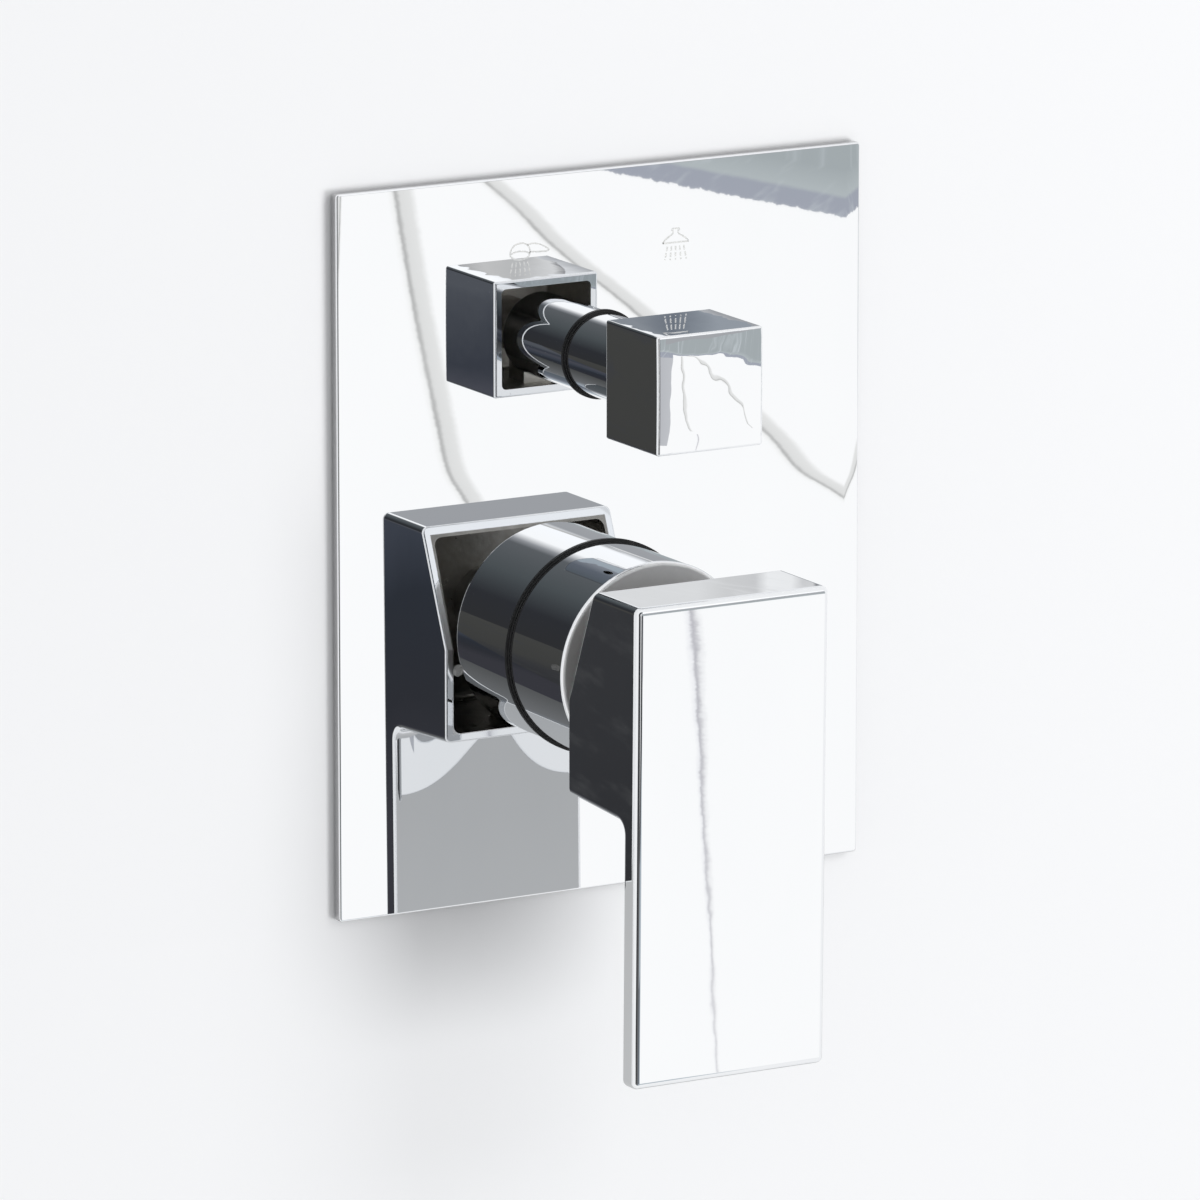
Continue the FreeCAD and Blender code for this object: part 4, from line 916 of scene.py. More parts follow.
def thread_ridge(foot: Point, along: Point, length: float, radius: float, pitch: float, rise: float) -> Shell:
    """A pipe thread: a low ridge carried along a helix.

    At angle a the ridge's middle stands pitch * (1 + a / pi) / 2 past the foot. Its section has two corners
    on the pipe, sunk by a share of the rise, and two on the crest at radius + rise. The crest sinks to their
    radius over the first and the last half turn.

    Args:
        foot: Where the thread starts on the pipe's axis.
        along: Direction of the axis.
        length: Length of the thread.
        radius: Radius of the pipe.
        pitch: Advance a turn.
        rise: Height of the crest over the pipe.

    Returns:
        The closed shell.
    """
    turns = length / pitch - 1.0
    angle = np.linspace(0.0, 2 * math.pi * turns, int(turns * THREAD_STEPS) + 1)
    ahead = np.array(along, float)
    right = np.cross(ahead, THREAD_START)
    right /= np.linalg.norm(right)
    up = np.cross(ahead, right)
    round_out = np.cos(angle)[:, None] * right + np.sin(angle)[:, None] * up
    to_end = np.minimum(angle, angle[-1] - angle) / math.pi
    crest = radius + rise * ((1.0 + THREAD_SUNK) * np.minimum(1.0, to_end) - THREAD_SUNK)
    sunk = np.full_like(crest, radius - THREAD_SUNK * rise)
    middle = pitch * (0.5 + angle / (2 * math.pi))
    corners = []
    for share, far in zip(THREAD_SECTION, (sunk, crest, crest, sunk)):
        out = round_out * far[:, None]
        corners.append(np.array(foot) + (out + ahead * (middle + share * pitch)[:, None]))
    return Shell.carried(corners)


def cross_screw(centre: Point, head: float, shank: float, length: float, arm: float, half: float,
                deep: float) -> Shell:
    """A countersunk screw along Y with a cross recess, as loops about its axis, recess first and shank last.

    The recess's loop is a plus sign of twelve corners, four points to a side, and the round loops take its
    angles. Its floor is a smaller plus sign, deep below the face. The cone falls as it narrows.

    Args:
        centre: Middle of the head's face, which looks towards +Y.
        head: Radius of the head.
        shank: Radius of the shank.
        length: From the face to the shank's end.
        arm: From the axis to the end of an arm.
        half: Half the width of an arm.
        deep: Depth of the recess.

    Returns:
        The closed shell.
    """
    quarter = np.array([(arm, -half), (arm, half), (half, half)])
    turned = np.stack([-quarter[:, 1], quarter[:, 0]], axis=1)
    corners = np.concatenate([quarter, turned, -quarter, -turned])
    share = np.linspace(0.0, 1.0, 4, endpoint=False)[None, :, None]
    plus = (corners[:, None] + (np.roll(corners, -1, axis=0) - corners)[:, None] * share).reshape(-1, 2)
    ring = plus / np.linalg.norm(plus, axis=1, keepdims=True)
    rim = head - SCREW_RIM
    loops = ((0.0 * ring, -deep), (RECESS_FLOOR * plus, -deep), (plus, 0.0), (rim * ring, 0.0),
             (shank * ring, shank - head), (shank * ring, -length), (0.0 * ring, -length))
    return Shell.looped([np.insert(flat, 1, rise, axis=1) + np.array(centre) for flat, rise in loops])


def bead_ring(centre: Point, radius: float, section: float) -> Shell:
    """A round bead about the Y axis: centre + ((R + s cos b) cos a, s sin b, (R + s cos b) sin a).

    Args:
        centre: Middle of the ring.
        radius: R, from the axis to the middle of the section.
        section: s, radius of the section.

    Returns:
        The closed shell.
    """
    a, b = np.meshgrid(*(np.linspace(0.0, 2 * math.pi, count, endpoint=False) for count in BEAD_STEPS),
                       indexing="ij")
    far = radius + section * np.cos(b)
    points = np.stack([far * np.cos(a), section * np.sin(b), far * np.sin(a)], axis=-1).reshape(-1, 3)
    return Shell(points + np.array(centre), Shell.grid_faces(*BEAD_STEPS, True, True)).outward()


def ring_path(centre: Span, radius: float, start: float = 0.0, stop: float = 360.0,
              count: int = 48) -> np.ndarray:
    """Points of an arc: centre + radius (cos a, sin a).

    Args:
        centre: Middle as (x, z).
        radius: Radius.
        start: First angle in degrees.
        stop: Last angle in degrees; a whole turn leaves out the last point.
        count: Number of points.

    Returns:
        The points.
    """
    angle = np.radians(np.linspace(start, stop, count, endpoint=stop - start < 360.0))
    return np.stack([centre[0] + radius * np.cos(angle), centre[1] + radius * np.sin(angle)], axis=1)


# Sub-assemblies


def dress(material: Material, *nodes: str) -> None:
    """Gives CAD nodes a finish in their own material slots.

    Args:
        material: The finish.
        nodes: Names of the nodes.
    """
    for name in nodes:
        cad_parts[name].data.materials[0] = material
        LOG.info("dressed %s in %s", name, material.name)


def settle(piece: bpy.types.Object, body: Body) -> bpy.types.Object:
    """Lets a new piece ride on a body.

    Args:
        piece: The piece.
        body: The body it moves with.

    Returns:
        The piece.
    """
    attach(piece, body.value)
    LOG.info("made %s, %d faces", piece.name, len(piece.data.polygons))
    return piece


@dataclass
class CoverPlate:
    """The mirror plate, its gasket and seals, and the etched marks on its face."""

    line: float = 0.40 * MM
    proud: float = 0.015 * MM
    sunk: float = 0.05 * MM
    mark_rise: float = 94.2 * MM
    mark_spread: float = 19.8 * MM
    warm_spread: float = 38.3 * MM
    warm_rise: float = -1.5 * MM
    warm_dot: float = 1.4 * MM
    side_roll: float = 4.0 * MM
    side_bend: float = -2.2
    lip_section: float = 0.30 * MM
    lip_proud: float = 0.06 * MM
    edge_depth: float = 0.42 * MM
    ray_dashes: tuple[Span, ...] = ((0.0, 0.34), (0.46, 0.78), (0.88, 1.0))
    ray_lean: Span = (0.74, 0.26)
    ray_count: int = 5
    face: float = field(init=False)

    def build(self) -> None:
        """Dresses the plate's nodes and makes its marks."""
        low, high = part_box("cover_plate")
        self.face = low.y
        middle = ((low.x + high.x) / 2, (low.z + high.z) / 2)
        flat = ((high.x - low.x) / 2 - self.side_roll, (high.z - low.z) / 2)
        # Past edge_depth behind the face, the plate's sides and back take darker satin colours: painted
        # shade, for the shaded gap at the wall that these sides mirror.
        behind = ((-FAR, low.y + self.edge_depth, -FAR), (FAR, FAR, FAR))
        finish = RolledChrome(
            "plate_chrome", wave=0.30e-6, wave_scale=70.0, centre=middle, flat=flat,
            bend=(self.side_bend, 0.0), hollow=behind, satin=(0.62, 0.62, 0.625),
            satin_dull=(0.50, 0.50, 0.505), lump=3.0e-6, lump_scale=900.0)
        dress(finish.build(), "cover_plate")
        dress(Foam().build(), "plate_gasket")
        dress(Rubber().build(), "sleeve_seal", "stem_seal")
        self.lips()
        etched = EtchedMark().build()
        self.hand_shower(etched)
        self.overhead_shower(etched)
        self.warmth_marks(etched)

    def lips(self) -> None:
        """Rounds the lip of each black seal with a glossy bead that stands a little proud of it."""
        finish = Rubber("lip_rubber", rough=0.08, pore=2.0e-6).build()
        for name, sleeve, seal in (("sleeve_lip", "lever_sleeve", "sleeve_seal"),
                                   ("stem_lip", "diverter_sleeve", "stem_seal")):
            low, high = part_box(sleeve)
            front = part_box(seal)[0].y - self.lip_proud
            centre = (0.0, front + self.lip_section, (low.z + high.z) / 2)
            radius = (high.x - low.x) / 2 + self.lip_section
            bead = bead_ring(centre, radius, self.lip_section)
            settle(bead.piece(name, finish), Body.VALVE)

    def _lines(self, name: str, paths: Sequence[Path], material: Material) -> None:
        """Makes one mark from its lines.

        Args:
            name: The piece's name.
            paths: Each line's points in metres and whether it is closed.
            material: Its finish.
        """
        shells = [stroke(p, self.line, self.face, self.proud, self.sunk, closed) for p, closed in paths]
        settle(Shell.joined(shells).piece(name, material, smooth=False), Body.VALVE)

    def _drops(self, centre: Span, spread: float, top: float, length: float) -> list[Path]:
        """Rays of water under a shower head, in three dashes each.

        Args:
            centre: Middle of the head as (x, z).
            spread: How far the outer rays lean out.
            top: Drop from the centre to the first dash.
            length: Length of a ray.

        Returns:
            The dashes' paths.
        """
        dashes = []
        root, more = self.ray_lean
        for lean in np.linspace(-1.0, 1.0, self.ray_count):
            for start, stop in self.ray_dashes:
                share = np.linspace(start, stop, 3)
                x = centre[0] + lean * (root + more * share) * spread
                z = centre[1] - top - share * length
                dashes.append((np.stack([x, z], axis=1), False))
        return dashes

    def hand_shower(self, material: Material) -> None:
        """Common sign for a hand shower: a round head seen aslant, its handle, and rays of water."""
        corner = np.array([-self.mark_spread, self.mark_rise])
        head = smooth_path(np.array([
            (-4.5, 0.9), (-4.2, 2.2), (-3.3, 3.2), (-1.8, 3.6), (-0.3, 3.3), (0.6, 2.3), (0.7, 1.2),
            (0.3, 0.3), (-0.6, -0.1), (-2.0, -0.3), (-3.4, 0.0),
        ]) * MM + corner, 8, closed=True)
        lip = smooth_path(np.array([
            (-4.3, 1.2), (-3.2, 1.6), (-1.8, 1.7), (-0.4, 1.5), (0.6, 1.1),
        ]) * MM + corner, 6)
        handle = smooth_path(np.array([
            (0.1, 3.1), (1.6, 3.3), (3.4, 2.9), (5.0, 2.1), (5.7, 1.5), (5.2, 1.2), (3.6, 1.2), (2.0, 1.3),
            (0.8, 1.4),
        ]) * MM + corner, 6)
        middle = (-1.9 * MM + corner[0], -0.3 * MM + corner[1])
        drops = self._drops(middle, spread=2.7 * MM, top=0.5 * MM, length=3.2 * MM)
        self._lines("hand_shower_mark", [(head, True), (lip, False), (handle, False)] + drops, material)

    def overhead_shower(self, material: Material) -> None:
        """Common sign for an overhead shower: a bell with its neck and rays of water."""
        corner = np.array([self.mark_spread, self.mark_rise])
        outline = np.array([
            (-3.5, 0.0), (-2.9, 0.7), (-1.9, 1.4), (-1.0, 1.9), (-0.7, 2.2), (-0.7, 2.8), (-1.0, 2.9),
            (-1.0, 3.3),
        ]) * MM
        bell = np.vstack([outline, outline[::-1] * (-1.0, 1.0), outline[:1]]) + corner
        drops = self._drops((corner[0], corner[1]), spread=2.9 * MM, top=0.8 * MM, length=3.3 * MM)
        self._lines("overhead_shower_mark", [(bell, False)] + drops, material)

    def warmth_marks(self, material: Material) -> None:
        """Plain signs beside the lever: a full spot for hot, an open ring for cold."""
        hot = spot_disc((-self.warm_spread, self.warm_rise), self.warm_dot, self.face, self.proud, self.sunk)
        settle(hot.piece("hot_mark", material, smooth=False), Body.VALVE)
        cold = ring_path((self.warm_spread, self.warm_rise), self.warm_dot - self.line / 2)
        self._lines("cold_mark", [(cold, True)], material)


@dataclass
class LeverTrim:
    """The lever with its sleeve and fixing."""

    hollow: Box = ((-23.55 * MM, -60.0 * MM, -24.55 * MM), (23.55 * MM, -33.4 * MM, 21.45 * MM))
    back_top: float = -59.2 * MM
    lean: float = 1.6 / 113.7
    sleeve_face: Box = ((-26.0 * MM, -29.8 * MM, -26.0 * MM), (26.0 * MM, -29.3 * MM, 26.0 * MM))
    swell_rows: Point = (-52.0 * MM, -28.5 * MM, -28.1 * MM)
    swell_counts: tuple[int, int] = (48, 49)
    swell_half: float = 23.4 * MM
    swell_rise: float = 1.52 * MM
    swell_skew: float = 0.15
    swell_sunk: float = 0.003 * MM
    swell_under: float = 0.5 * MM
    swell_crease: float = math.radians(30.0)

    def blade_back(self, z: np.ndarray) -> np.ndarray:
        """Y of the blade's back at heights z; the blade leans back towards its end."""
        return self.back_top + self.lean * (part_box("lever_handle")[1].z - z)

    def swell(self, finish: Material) -> None:
        """The swell behind the blade, where it runs up to the block.

        Over the blade's back it stands rise * over^2 * (1 - f^2)^2 * (1 - skew * f), where over is the height
        above the swell's foot as a share and f is x / half. Its last row lies in the block, and its under
        side, half a sine wave up the swell, in the blade.

        Args:
            finish: The lever's finish.
        """
        foot, crest, end = self.swell_rows
        z = np.append(np.linspace(foot, crest, self.swell_counts[0]), end)[:, None]
        x = np.linspace(-self.swell_half, self.swell_half, self.swell_counts[1])[None, :]
        over = (np.minimum(z, crest) - foot) / (crest - foot)
        part = x / self.swell_half
        bulge = self.swell_rise * over ** 2 * (1.0 - part ** 2) ** 2 * (1.0 - self.swell_skew * part)
        bulge[-1] = 0.0
        back = self.blade_back(z) + bulge - self.swell_sunk
        under = self.blade_back(z) - self.swell_under * np.sin(np.pi * over) + 0.0 * x - self.swell_sunk
        round_x = np.concatenate([x, x[:, ::-1]], axis=1)
        depth = np.concatenate([back, under[:, ::-1]], axis=1)
        loops = np.stack(np.broadcast_arrays(round_x, depth, z), axis=-1)
        made = Shell.looped(loops).piece("blade_swell", finish)
        made.data.set_sharp_from_angle(angle=self.swell_crease)
        settle(made, Body.LEVER)

    def build(self) -> None:
        """Dresses the lever's nodes and makes the swell behind its blade."""
        chrome = PolishedChrome(
            "lever_chrome", wave=4.0e-6, wave_scale=70.0, hollow=self.hollow, satin=(0.40, 0.385, 0.36),
            satin_dull=(0.25, 0.24, 0.22), satin_rough=0.22).build()
        dress(chrome, "lever_handle")
        self.swell(chrome)
        turned = PolishedChrome(
            "sleeve_chrome", wave=0.25e-6, wave_scale=120.0, hollow=self.sleeve_face,
            satin=(0.90, 0.90, 0.90), satin_dull=(0.80, 0.80, 0.80), satin_rough=0.5, lump=4.0e-6,
            lump_scale=700.0)
        dress(turned.build(), "lever_sleeve")
        dress(PolishedChrome("stem_chrome", wave=0.25e-6, wave_scale=120.0).build(), "diverter_sleeve")
        grey = MouldedPlastic("grey_plastic_skin", (0.19, 0.195, 0.20), (0.24, 0.245, 0.25)).build()
        dress(grey, "lever_screw_cap", "limit_stop", "cartridge_housing", "cartridge_base")
        steel = TurnedMetal("turned_steel_z", Axis.Z, *STEEL_TONES).build()
        dress(steel, "lever_set_screw", "knob_set_screw")
        dress(Rubber("grip_rubber").build(), "sleeve_grip_ring", "stem_grip_ring")


@dataclass
class DiverterTrim:
    """The square knob and what turns with it."""

    flat_half: float = 8.5 * MM
    bend: float = 6.0
    wall: float = 1.85 * MM
    front_wall: float = 3.5 * MM
    back_rim: float = 0.3 * MM

    def build(self) -> None:
        """Dresses the knob's nodes."""
        low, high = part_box("diverter_knob")
        centre = ((low.x + high.x) / 2, (low.z + high.z) / 2)
        room = ((low.x + self.wall, low.y + self.front_wall, low.z + self.wall),
                (high.x - self.wall, high.y - self.back_rim, high.z - self.wall))
        finish = RolledChrome(
            "knob_chrome", wave=45.0e-6, wave_scale=85.0, hollow=room, satin=(0.88, 0.85, 0.79),
            satin_dull=(0.66, 0.63, 0.58), satin_rough=0.34, centre=centre,
            flat=(self.flat_half, self.flat_half), bend=(self.bend, self.bend))
        dress(finish.build(), "diverter_knob")


@dataclass
class WaterWorks:
    """Cartridge, balance unit, diverter and body behind the plate."""

    pipe_depth: float = 37.0 * MM
    thread_radius: float = 10.67 * MM
    thread_length: float = 16.0 * MM
    thread_pitch: float = 1.814 * MM
    thread_rise: float = 0.3 * MM
    inlet_reach: float = 50.0 * MM
    side_outlet: Span = (-46.0 * MM, 63.1 * MM)
    top_outlet: float = 103.6 * MM
    screw_rises: tuple[float, ...] = (-13.0 * MM, 13.0 * MM, 45.0 * MM)
    screw_shank: float = 2.5 * MM
    recess_arm: float = 2.6 * MM
    recess_half: float = 0.65 * MM
    recess_deep: float = 1.5 * MM

    def threads(self) -> None:
        """Cuts the four pipe ends' threads as ridges on their plain solids."""
        depth = self.pipe_depth
        ends = (
            ("inlet_thread_left", (-self.inlet_reach, depth, 0.0), (-1.0, 0.0, 0.0)),
            ("inlet_thread_right", (self.inlet_reach, depth, 0.0), (1.0, 0.0, 0.0)),
            ("outlet_thread_side", (self.side_outlet[0], depth, self.side_outlet[1]), (-1.0, 0.0, 0.0)),
            ("outlet_thread_top", (0.0, depth, self.top_outlet), (0.0, 0.0, 1.0)),
        )
        finish = TurnedMetal("thread_brass", Axis.Y, *BRASS_TONES, groove=1.0e-6, rough=0.2).build()
        for name, foot, along in ends:
            ridge = thread_ridge(foot, along, self.thread_length, self.thread_radius, self.thread_pitch,
                                 self.thread_rise)
            settle(ridge.piece(name, finish), Body.VALVE)

    def screws(self) -> None:
        """Makes the bracket's screws anew, with their cross recesses."""
        low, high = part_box("bracket_screws")
        shells = [cross_screw((0.0, high.y, rise), high.x, self.screw_shank, high.y - low.y, self.recess_arm,
                              self.recess_half, self.recess_deep) for rise in self.screw_rises]
        finish = ScrewZinc("screw_zinc", high.y).build()
        made = Shell.joined(shells).piece("bracket_screw_set", finish, smooth=False)
        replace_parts(settle(made, Body.VALVE), "bracket_screws")

    def build(self) -> None:
        """Dresses the inner nodes and makes the threads and the screws."""
        self.threads()
        dress(CastBrass().build(), "valve_body")
        for name, axis, tones, nodes in (
            ("turned_brass_y", Axis.Y, BRASS_TONES,
             ("cartridge_nut", "diverter_headpart", "diverter_spindle", "lever_spindle")),
            ("turned_brass_x", Axis.X, BRASS_TONES, ("balance_cap",)),
            ("turned_steel_x", Axis.X, STEEL_TONES, ("balance_spool", "stem_pin")),
            ("turned_steel_y", Axis.Y, STEEL_TONES, ("spindle_circlip",)),
        ):
            dress(TurnedMetal(name, axis, *tones).build(), *nodes)
        dress(ZincSheet().build(), "mounting_bracket")
        self.screws()
        white = MouldedPlastic("white_plastic_skin", (0.74, 0.735, 0.71), (0.80, 0.795, 0.775)).build()
        dress(white, "lever_carrier", "disc_driver", "balance_sleeve")
        dress(LappedCeramic().build(), "moving_disc", "fixed_disc", "diverter_moving_disc",
              "diverter_fixed_disc")
        dress(Rubber("ring_rubber").build(), "base_seals", "balance_o_rings", "cap_o_ring", "headpart_o_ring",
              "diverter_seat_seal", "spindle_o_ring")


# Studio


@dataclass(frozen=True)
class Panel:
    """An upright card before the plate: its ends along X and Z, its tones and its place along Y."""

    name: str
    across: Span
    up: Span
    finish: LitCard
    plane: float = -0.450


@dataclass(frozen=True)
class Fold:
    """A soft fold of the white card: a ribbon with one sharp dark line, narrow where the lever mirrors it.

    A knot gives a pixel of the plate where the line shows, and the ribbon's width at its left and right.
    """

    name: str
    knots: tuple[tuple[float, float, float, float], ...]
    tones: Tones
    ragged: float
    grain: Point
    fade: Span | None = None


@dataclass(frozen=True)
class Lamp:
    """A round soft lamp that looks at the origin."""

    name: str
    place: Point
    size: float
    power: float


PLAIN_WHITE: Tones = ((0.0, WHITE), (1.0, WHITE))
WIDE_FOLD: Tones = (
    (0.0, WHITE), (0.17, (0.93, 0.93, 0.92)), (0.27, (0.48, 0.48, 0.475)), (0.31, (0.50, 0.50, 0.495)),
    (0.42, (0.76, 0.76, 0.75)), (0.78, (0.80, 0.80, 0.79)), (1.0, WHITE),
)
NARROW_FOLD: Tones = (
    (0.0, WHITE), (0.28, (0.90, 0.90, 0.92)), (0.44, (0.50, 0.495, 0.53)), (0.56, (0.64, 0.635, 0.66)),
    (0.74, (0.88, 0.88, 0.89)), (1.0, WHITE),
)
FOLDS = (
    Fold("fold_left", (
        (388, 140, 8, 21), (395, 190, 8, 21), (413, 300, 8, 21), (437, 420, 8, 21), (448, 470, 8, 21),
        (465, 500, 8, 21), (500, 560, 6, 16),
    ), WIDE_FOLD, 0.16, (3.0, 90.0, 1.0)),
    Fold("fold_lever", (
        (536, 600, 9, 11), (552, 660, 9, 12), (560, 760, 7, 10), (569, 883, 4.5, 5.5), (584, 1112, 2.2, 3.2),
        (591, 1200, 2.2, 3.2),
    ), NARROW_FOLD, 0.45, (2.5, 190.0, 1.0), (0.35, 1.5)),
    Fold("fold_right", (
        (430, 140, 8, 22), (505, 200, 8, 22), (556, 250, 8, 22), (640, 318, 8, 22), (760, 428, 8, 22),
        (798, 470, 8, 22), (845, 500, 8, 22), (980, 600, 8, 22),
    ), WIDE_FOLD, 0.16, (3.0, 60.0, 1.0)),
)
ROOM_TONES: Tones = (
    (0.0, (0.41, 0.43, 0.50)), (0.35, (0.40, 0.425, 0.49)), (0.37, (0.50, 0.545, 0.56)),
    (0.50, (0.42, 0.46, 0.475)), (1.0, (0.42, 0.46, 0.475)),
)
DARK_ROOM_TONES: Tones = (
    (0.0, (0.05, 0.05, 0.055)), (0.70, (0.05, 0.05, 0.055)), (0.72, (0.42, 0.43, 0.46)),
    (1.0, (0.60, 0.61, 0.64)),
)
RING_TONES: Tones = (
    (2.0, (0.42, 0.43, 0.45)), (27.0, (0.42, 0.43, 0.45)), (36.0, (1.22, 1.23, 1.25)),
    (64.0, (1.22, 1.22, 1.22)), (75.0, (0.35, 0.36, 0.38)), (82.0, (0.135, 0.145, 0.155)),
    (120.0, (0.090, 0.103, 0.110)), (152.0, (0.034, 0.036, 0.042)), (205.0, (0.036, 0.036, 0.036)),
    (218.0, (0.080, 0.083, 0.082)), (258.0, (0.180, 0.184, 0.190)), (274.0, (0.43, 0.48, 0.54)),
    (306.0, (0.50, 0.56, 0.61)),
)
PANELS = (
    Panel("lever_panel", (0.25, 0.33), (0.147, 0.158), LitCard(
        "lever_panel_light", (
            (0.44, (0.88, 0.88, 0.88)), (0.56, (0.76, 0.76, 0.76)), (0.68, (0.72, 0.72, 0.725)),
            (0.73, (1.05, 1.05, 1.05)), (0.83, (1.03, 1.03, 1.03)), (0.875, (0.75, 0.75, 0.755)),
            (0.915, (0.78, 0.78, 0.785)), (0.93, (0.26, 0.265, 0.28)), (0.96, (0.50, 0.505, 0.52)),
        ), ragged=0.03, grain=(6.0, 5.0, 1.0), streak=(0.92, 0.92, 0.925), streak_grain=(34.0, 1.6, 1.0),
        streak_turn=0.5)),
    Panel("knob_panel", (0.247, 0.33), (0.183, 0.207), LitCard(
        "knob_panel_light", (
            (0.20, (0.30, 0.325, 0.36)), (0.36, (0.19, 0.215, 0.255)), (0.54, (0.36, 0.395, 0.44)),
        ))),
    Panel("knob_back_panel", (0.205, 0.242), (0.164, 0.1772), LitCard(
        "knob_back_light", (
            (0.0, (0.44, 0.44, 0.45)), (0.3, (0.66, 0.655, 0.65)), (0.6, (0.58, 0.58, 0.58)),
            (0.9, (0.80, 0.80, 0.80)), (1.0, (0.34, 0.34, 0.35)),
        ), ragged=0.25, grain=(2.0, 4.0, 1.0))),
    Panel("left_panel", (-0.42, -0.27), (-0.24, 0.03), LitCard(
        "left_panel_light", (
            (0.0, (0.034, 0.035, 0.038)), (0.30, (0.040, 0.041, 0.045)), (0.50, (0.047, 0.048, 0.052)),
            (0.62, (0.062, 0.062, 0.059)), (1.0, (0.070, 0.070, 0.066)),
        ), way=Axis.Y, ragged=0.2, grain=(4.0, 3.0, 1.0), streak=(0.062, 0.063, 0.066),
        streak_grain=(40.0, 9.0, 1.0), streak_turn=1.2)),
    Panel("left_back_panel", (-0.27, -0.20), (-0.24, 0.03), LitCard(
        "left_back_light", (
            (0.30, (0.050, 0.050, 0.060)), (0.42, (0.034, 0.036, 0.044)), (0.53, (0.032, 0.037, 0.048)),
            (0.60, (0.056, 0.064, 0.083)), (0.70, (0.080, 0.083, 0.102)), (0.78, (0.050, 0.056, 0.072)),
            (0.88, (0.100, 0.108, 0.125)),
        ), way=Axis.Y, ragged=0.08, grain=(3.0, 3.0, 1.0))),
    Panel("knob_under_panel", (-0.03, 0.10), (-0.21, -0.178), LitCard(
        "knob_under_light", (
            (0.0, (0.12, 0.14, 0.16)), (0.6, (0.16, 0.18, 0.215)), (1.0, (0.34, 0.36, 0.40)),
        ))),
    # Painted shadow: a grey card just before the wall below the plate, seen in the metal only, in the tone of
    # the shaded wall there.
    Panel("low_wall", (-0.16, 0.12), (-0.30, -0.0585), LitCard(
        "low_wall_light", (
            (0.0, (0.70, 0.705, 0.71)), (0.6, (0.62, 0.625, 0.63)), (1.0, (0.51, 0.515, 0.52)),
        ), way=Axis.Y, ragged=0.06, grain=(24.0, 8.0, 1.0)), plane=-0.0012),
)
LAMPS = (
    Lamp("key_lamp", (4.12, -6.64, -1.76), 4.0, 312.0),
    Lamp("window_lamp", (0.912, -1.3604, 0.95), 1.0, 6.0),
    Lamp("rear_lamp_left", (-0.9, 1.1, 0.8), 0.8, 9.0),
    Lamp("rear_lamp_right", (1.0, 1.0, 0.3), 0.8, 6.0),
)


def upright(across: Sequence[float], plane: float, up: Sequence[float]) -> np.ndarray:
    """A grid of points in a plane parallel to the plate.

    Args:
        across: Places along X.
        plane: Place along Y.
        up: Places along Z.

    Returns:
        Points as rows by columns by 3.
    """
    x, z = np.meshgrid(across, up)
    return np.stack([x, np.full_like(x, plane), z], axis=-1)


@dataclass
class View:
    """The camera of the photograph, from a fit to the plate's and the lever's corners."""

    yaw: float = math.radians(29.64)
    pitch: float = math.radians(12.56)
    distance: float = 2.492
    target: Point = (-0.00031, -0.00374, 0.01105)
    focal_px: float = 10668.0
    image_px: float = 1200.0
    sensor: float = 36.0

    def forward(self) -> np.ndarray:
        """Direction from the camera to the object."""
        return np.array([
            math.sin(self.yaw) * math.cos(self.pitch),
            math.cos(self.yaw) * math.cos(self.pitch),
            -math.sin(self.pitch),
        ])

    def build(self) -> None:
        """Makes the camera and sets it in the scene."""
        data = bpy.data.cameras.new("photo_camera")
        data.sensor_width = self.sensor
        data.lens = self.sensor * self.focal_px / self.image_px
        camera = bpy.data.objects.new("photo_camera", data)
        forward = Vector(self.forward())
        camera.location = Vector(self.target) - forward * self.distance
        camera.rotation_euler = forward.to_track_quat("-Z", "Y").to_euler()
        bpy.context.scene.collection.objects.link(camera)
        bpy.context.scene.camera = camera


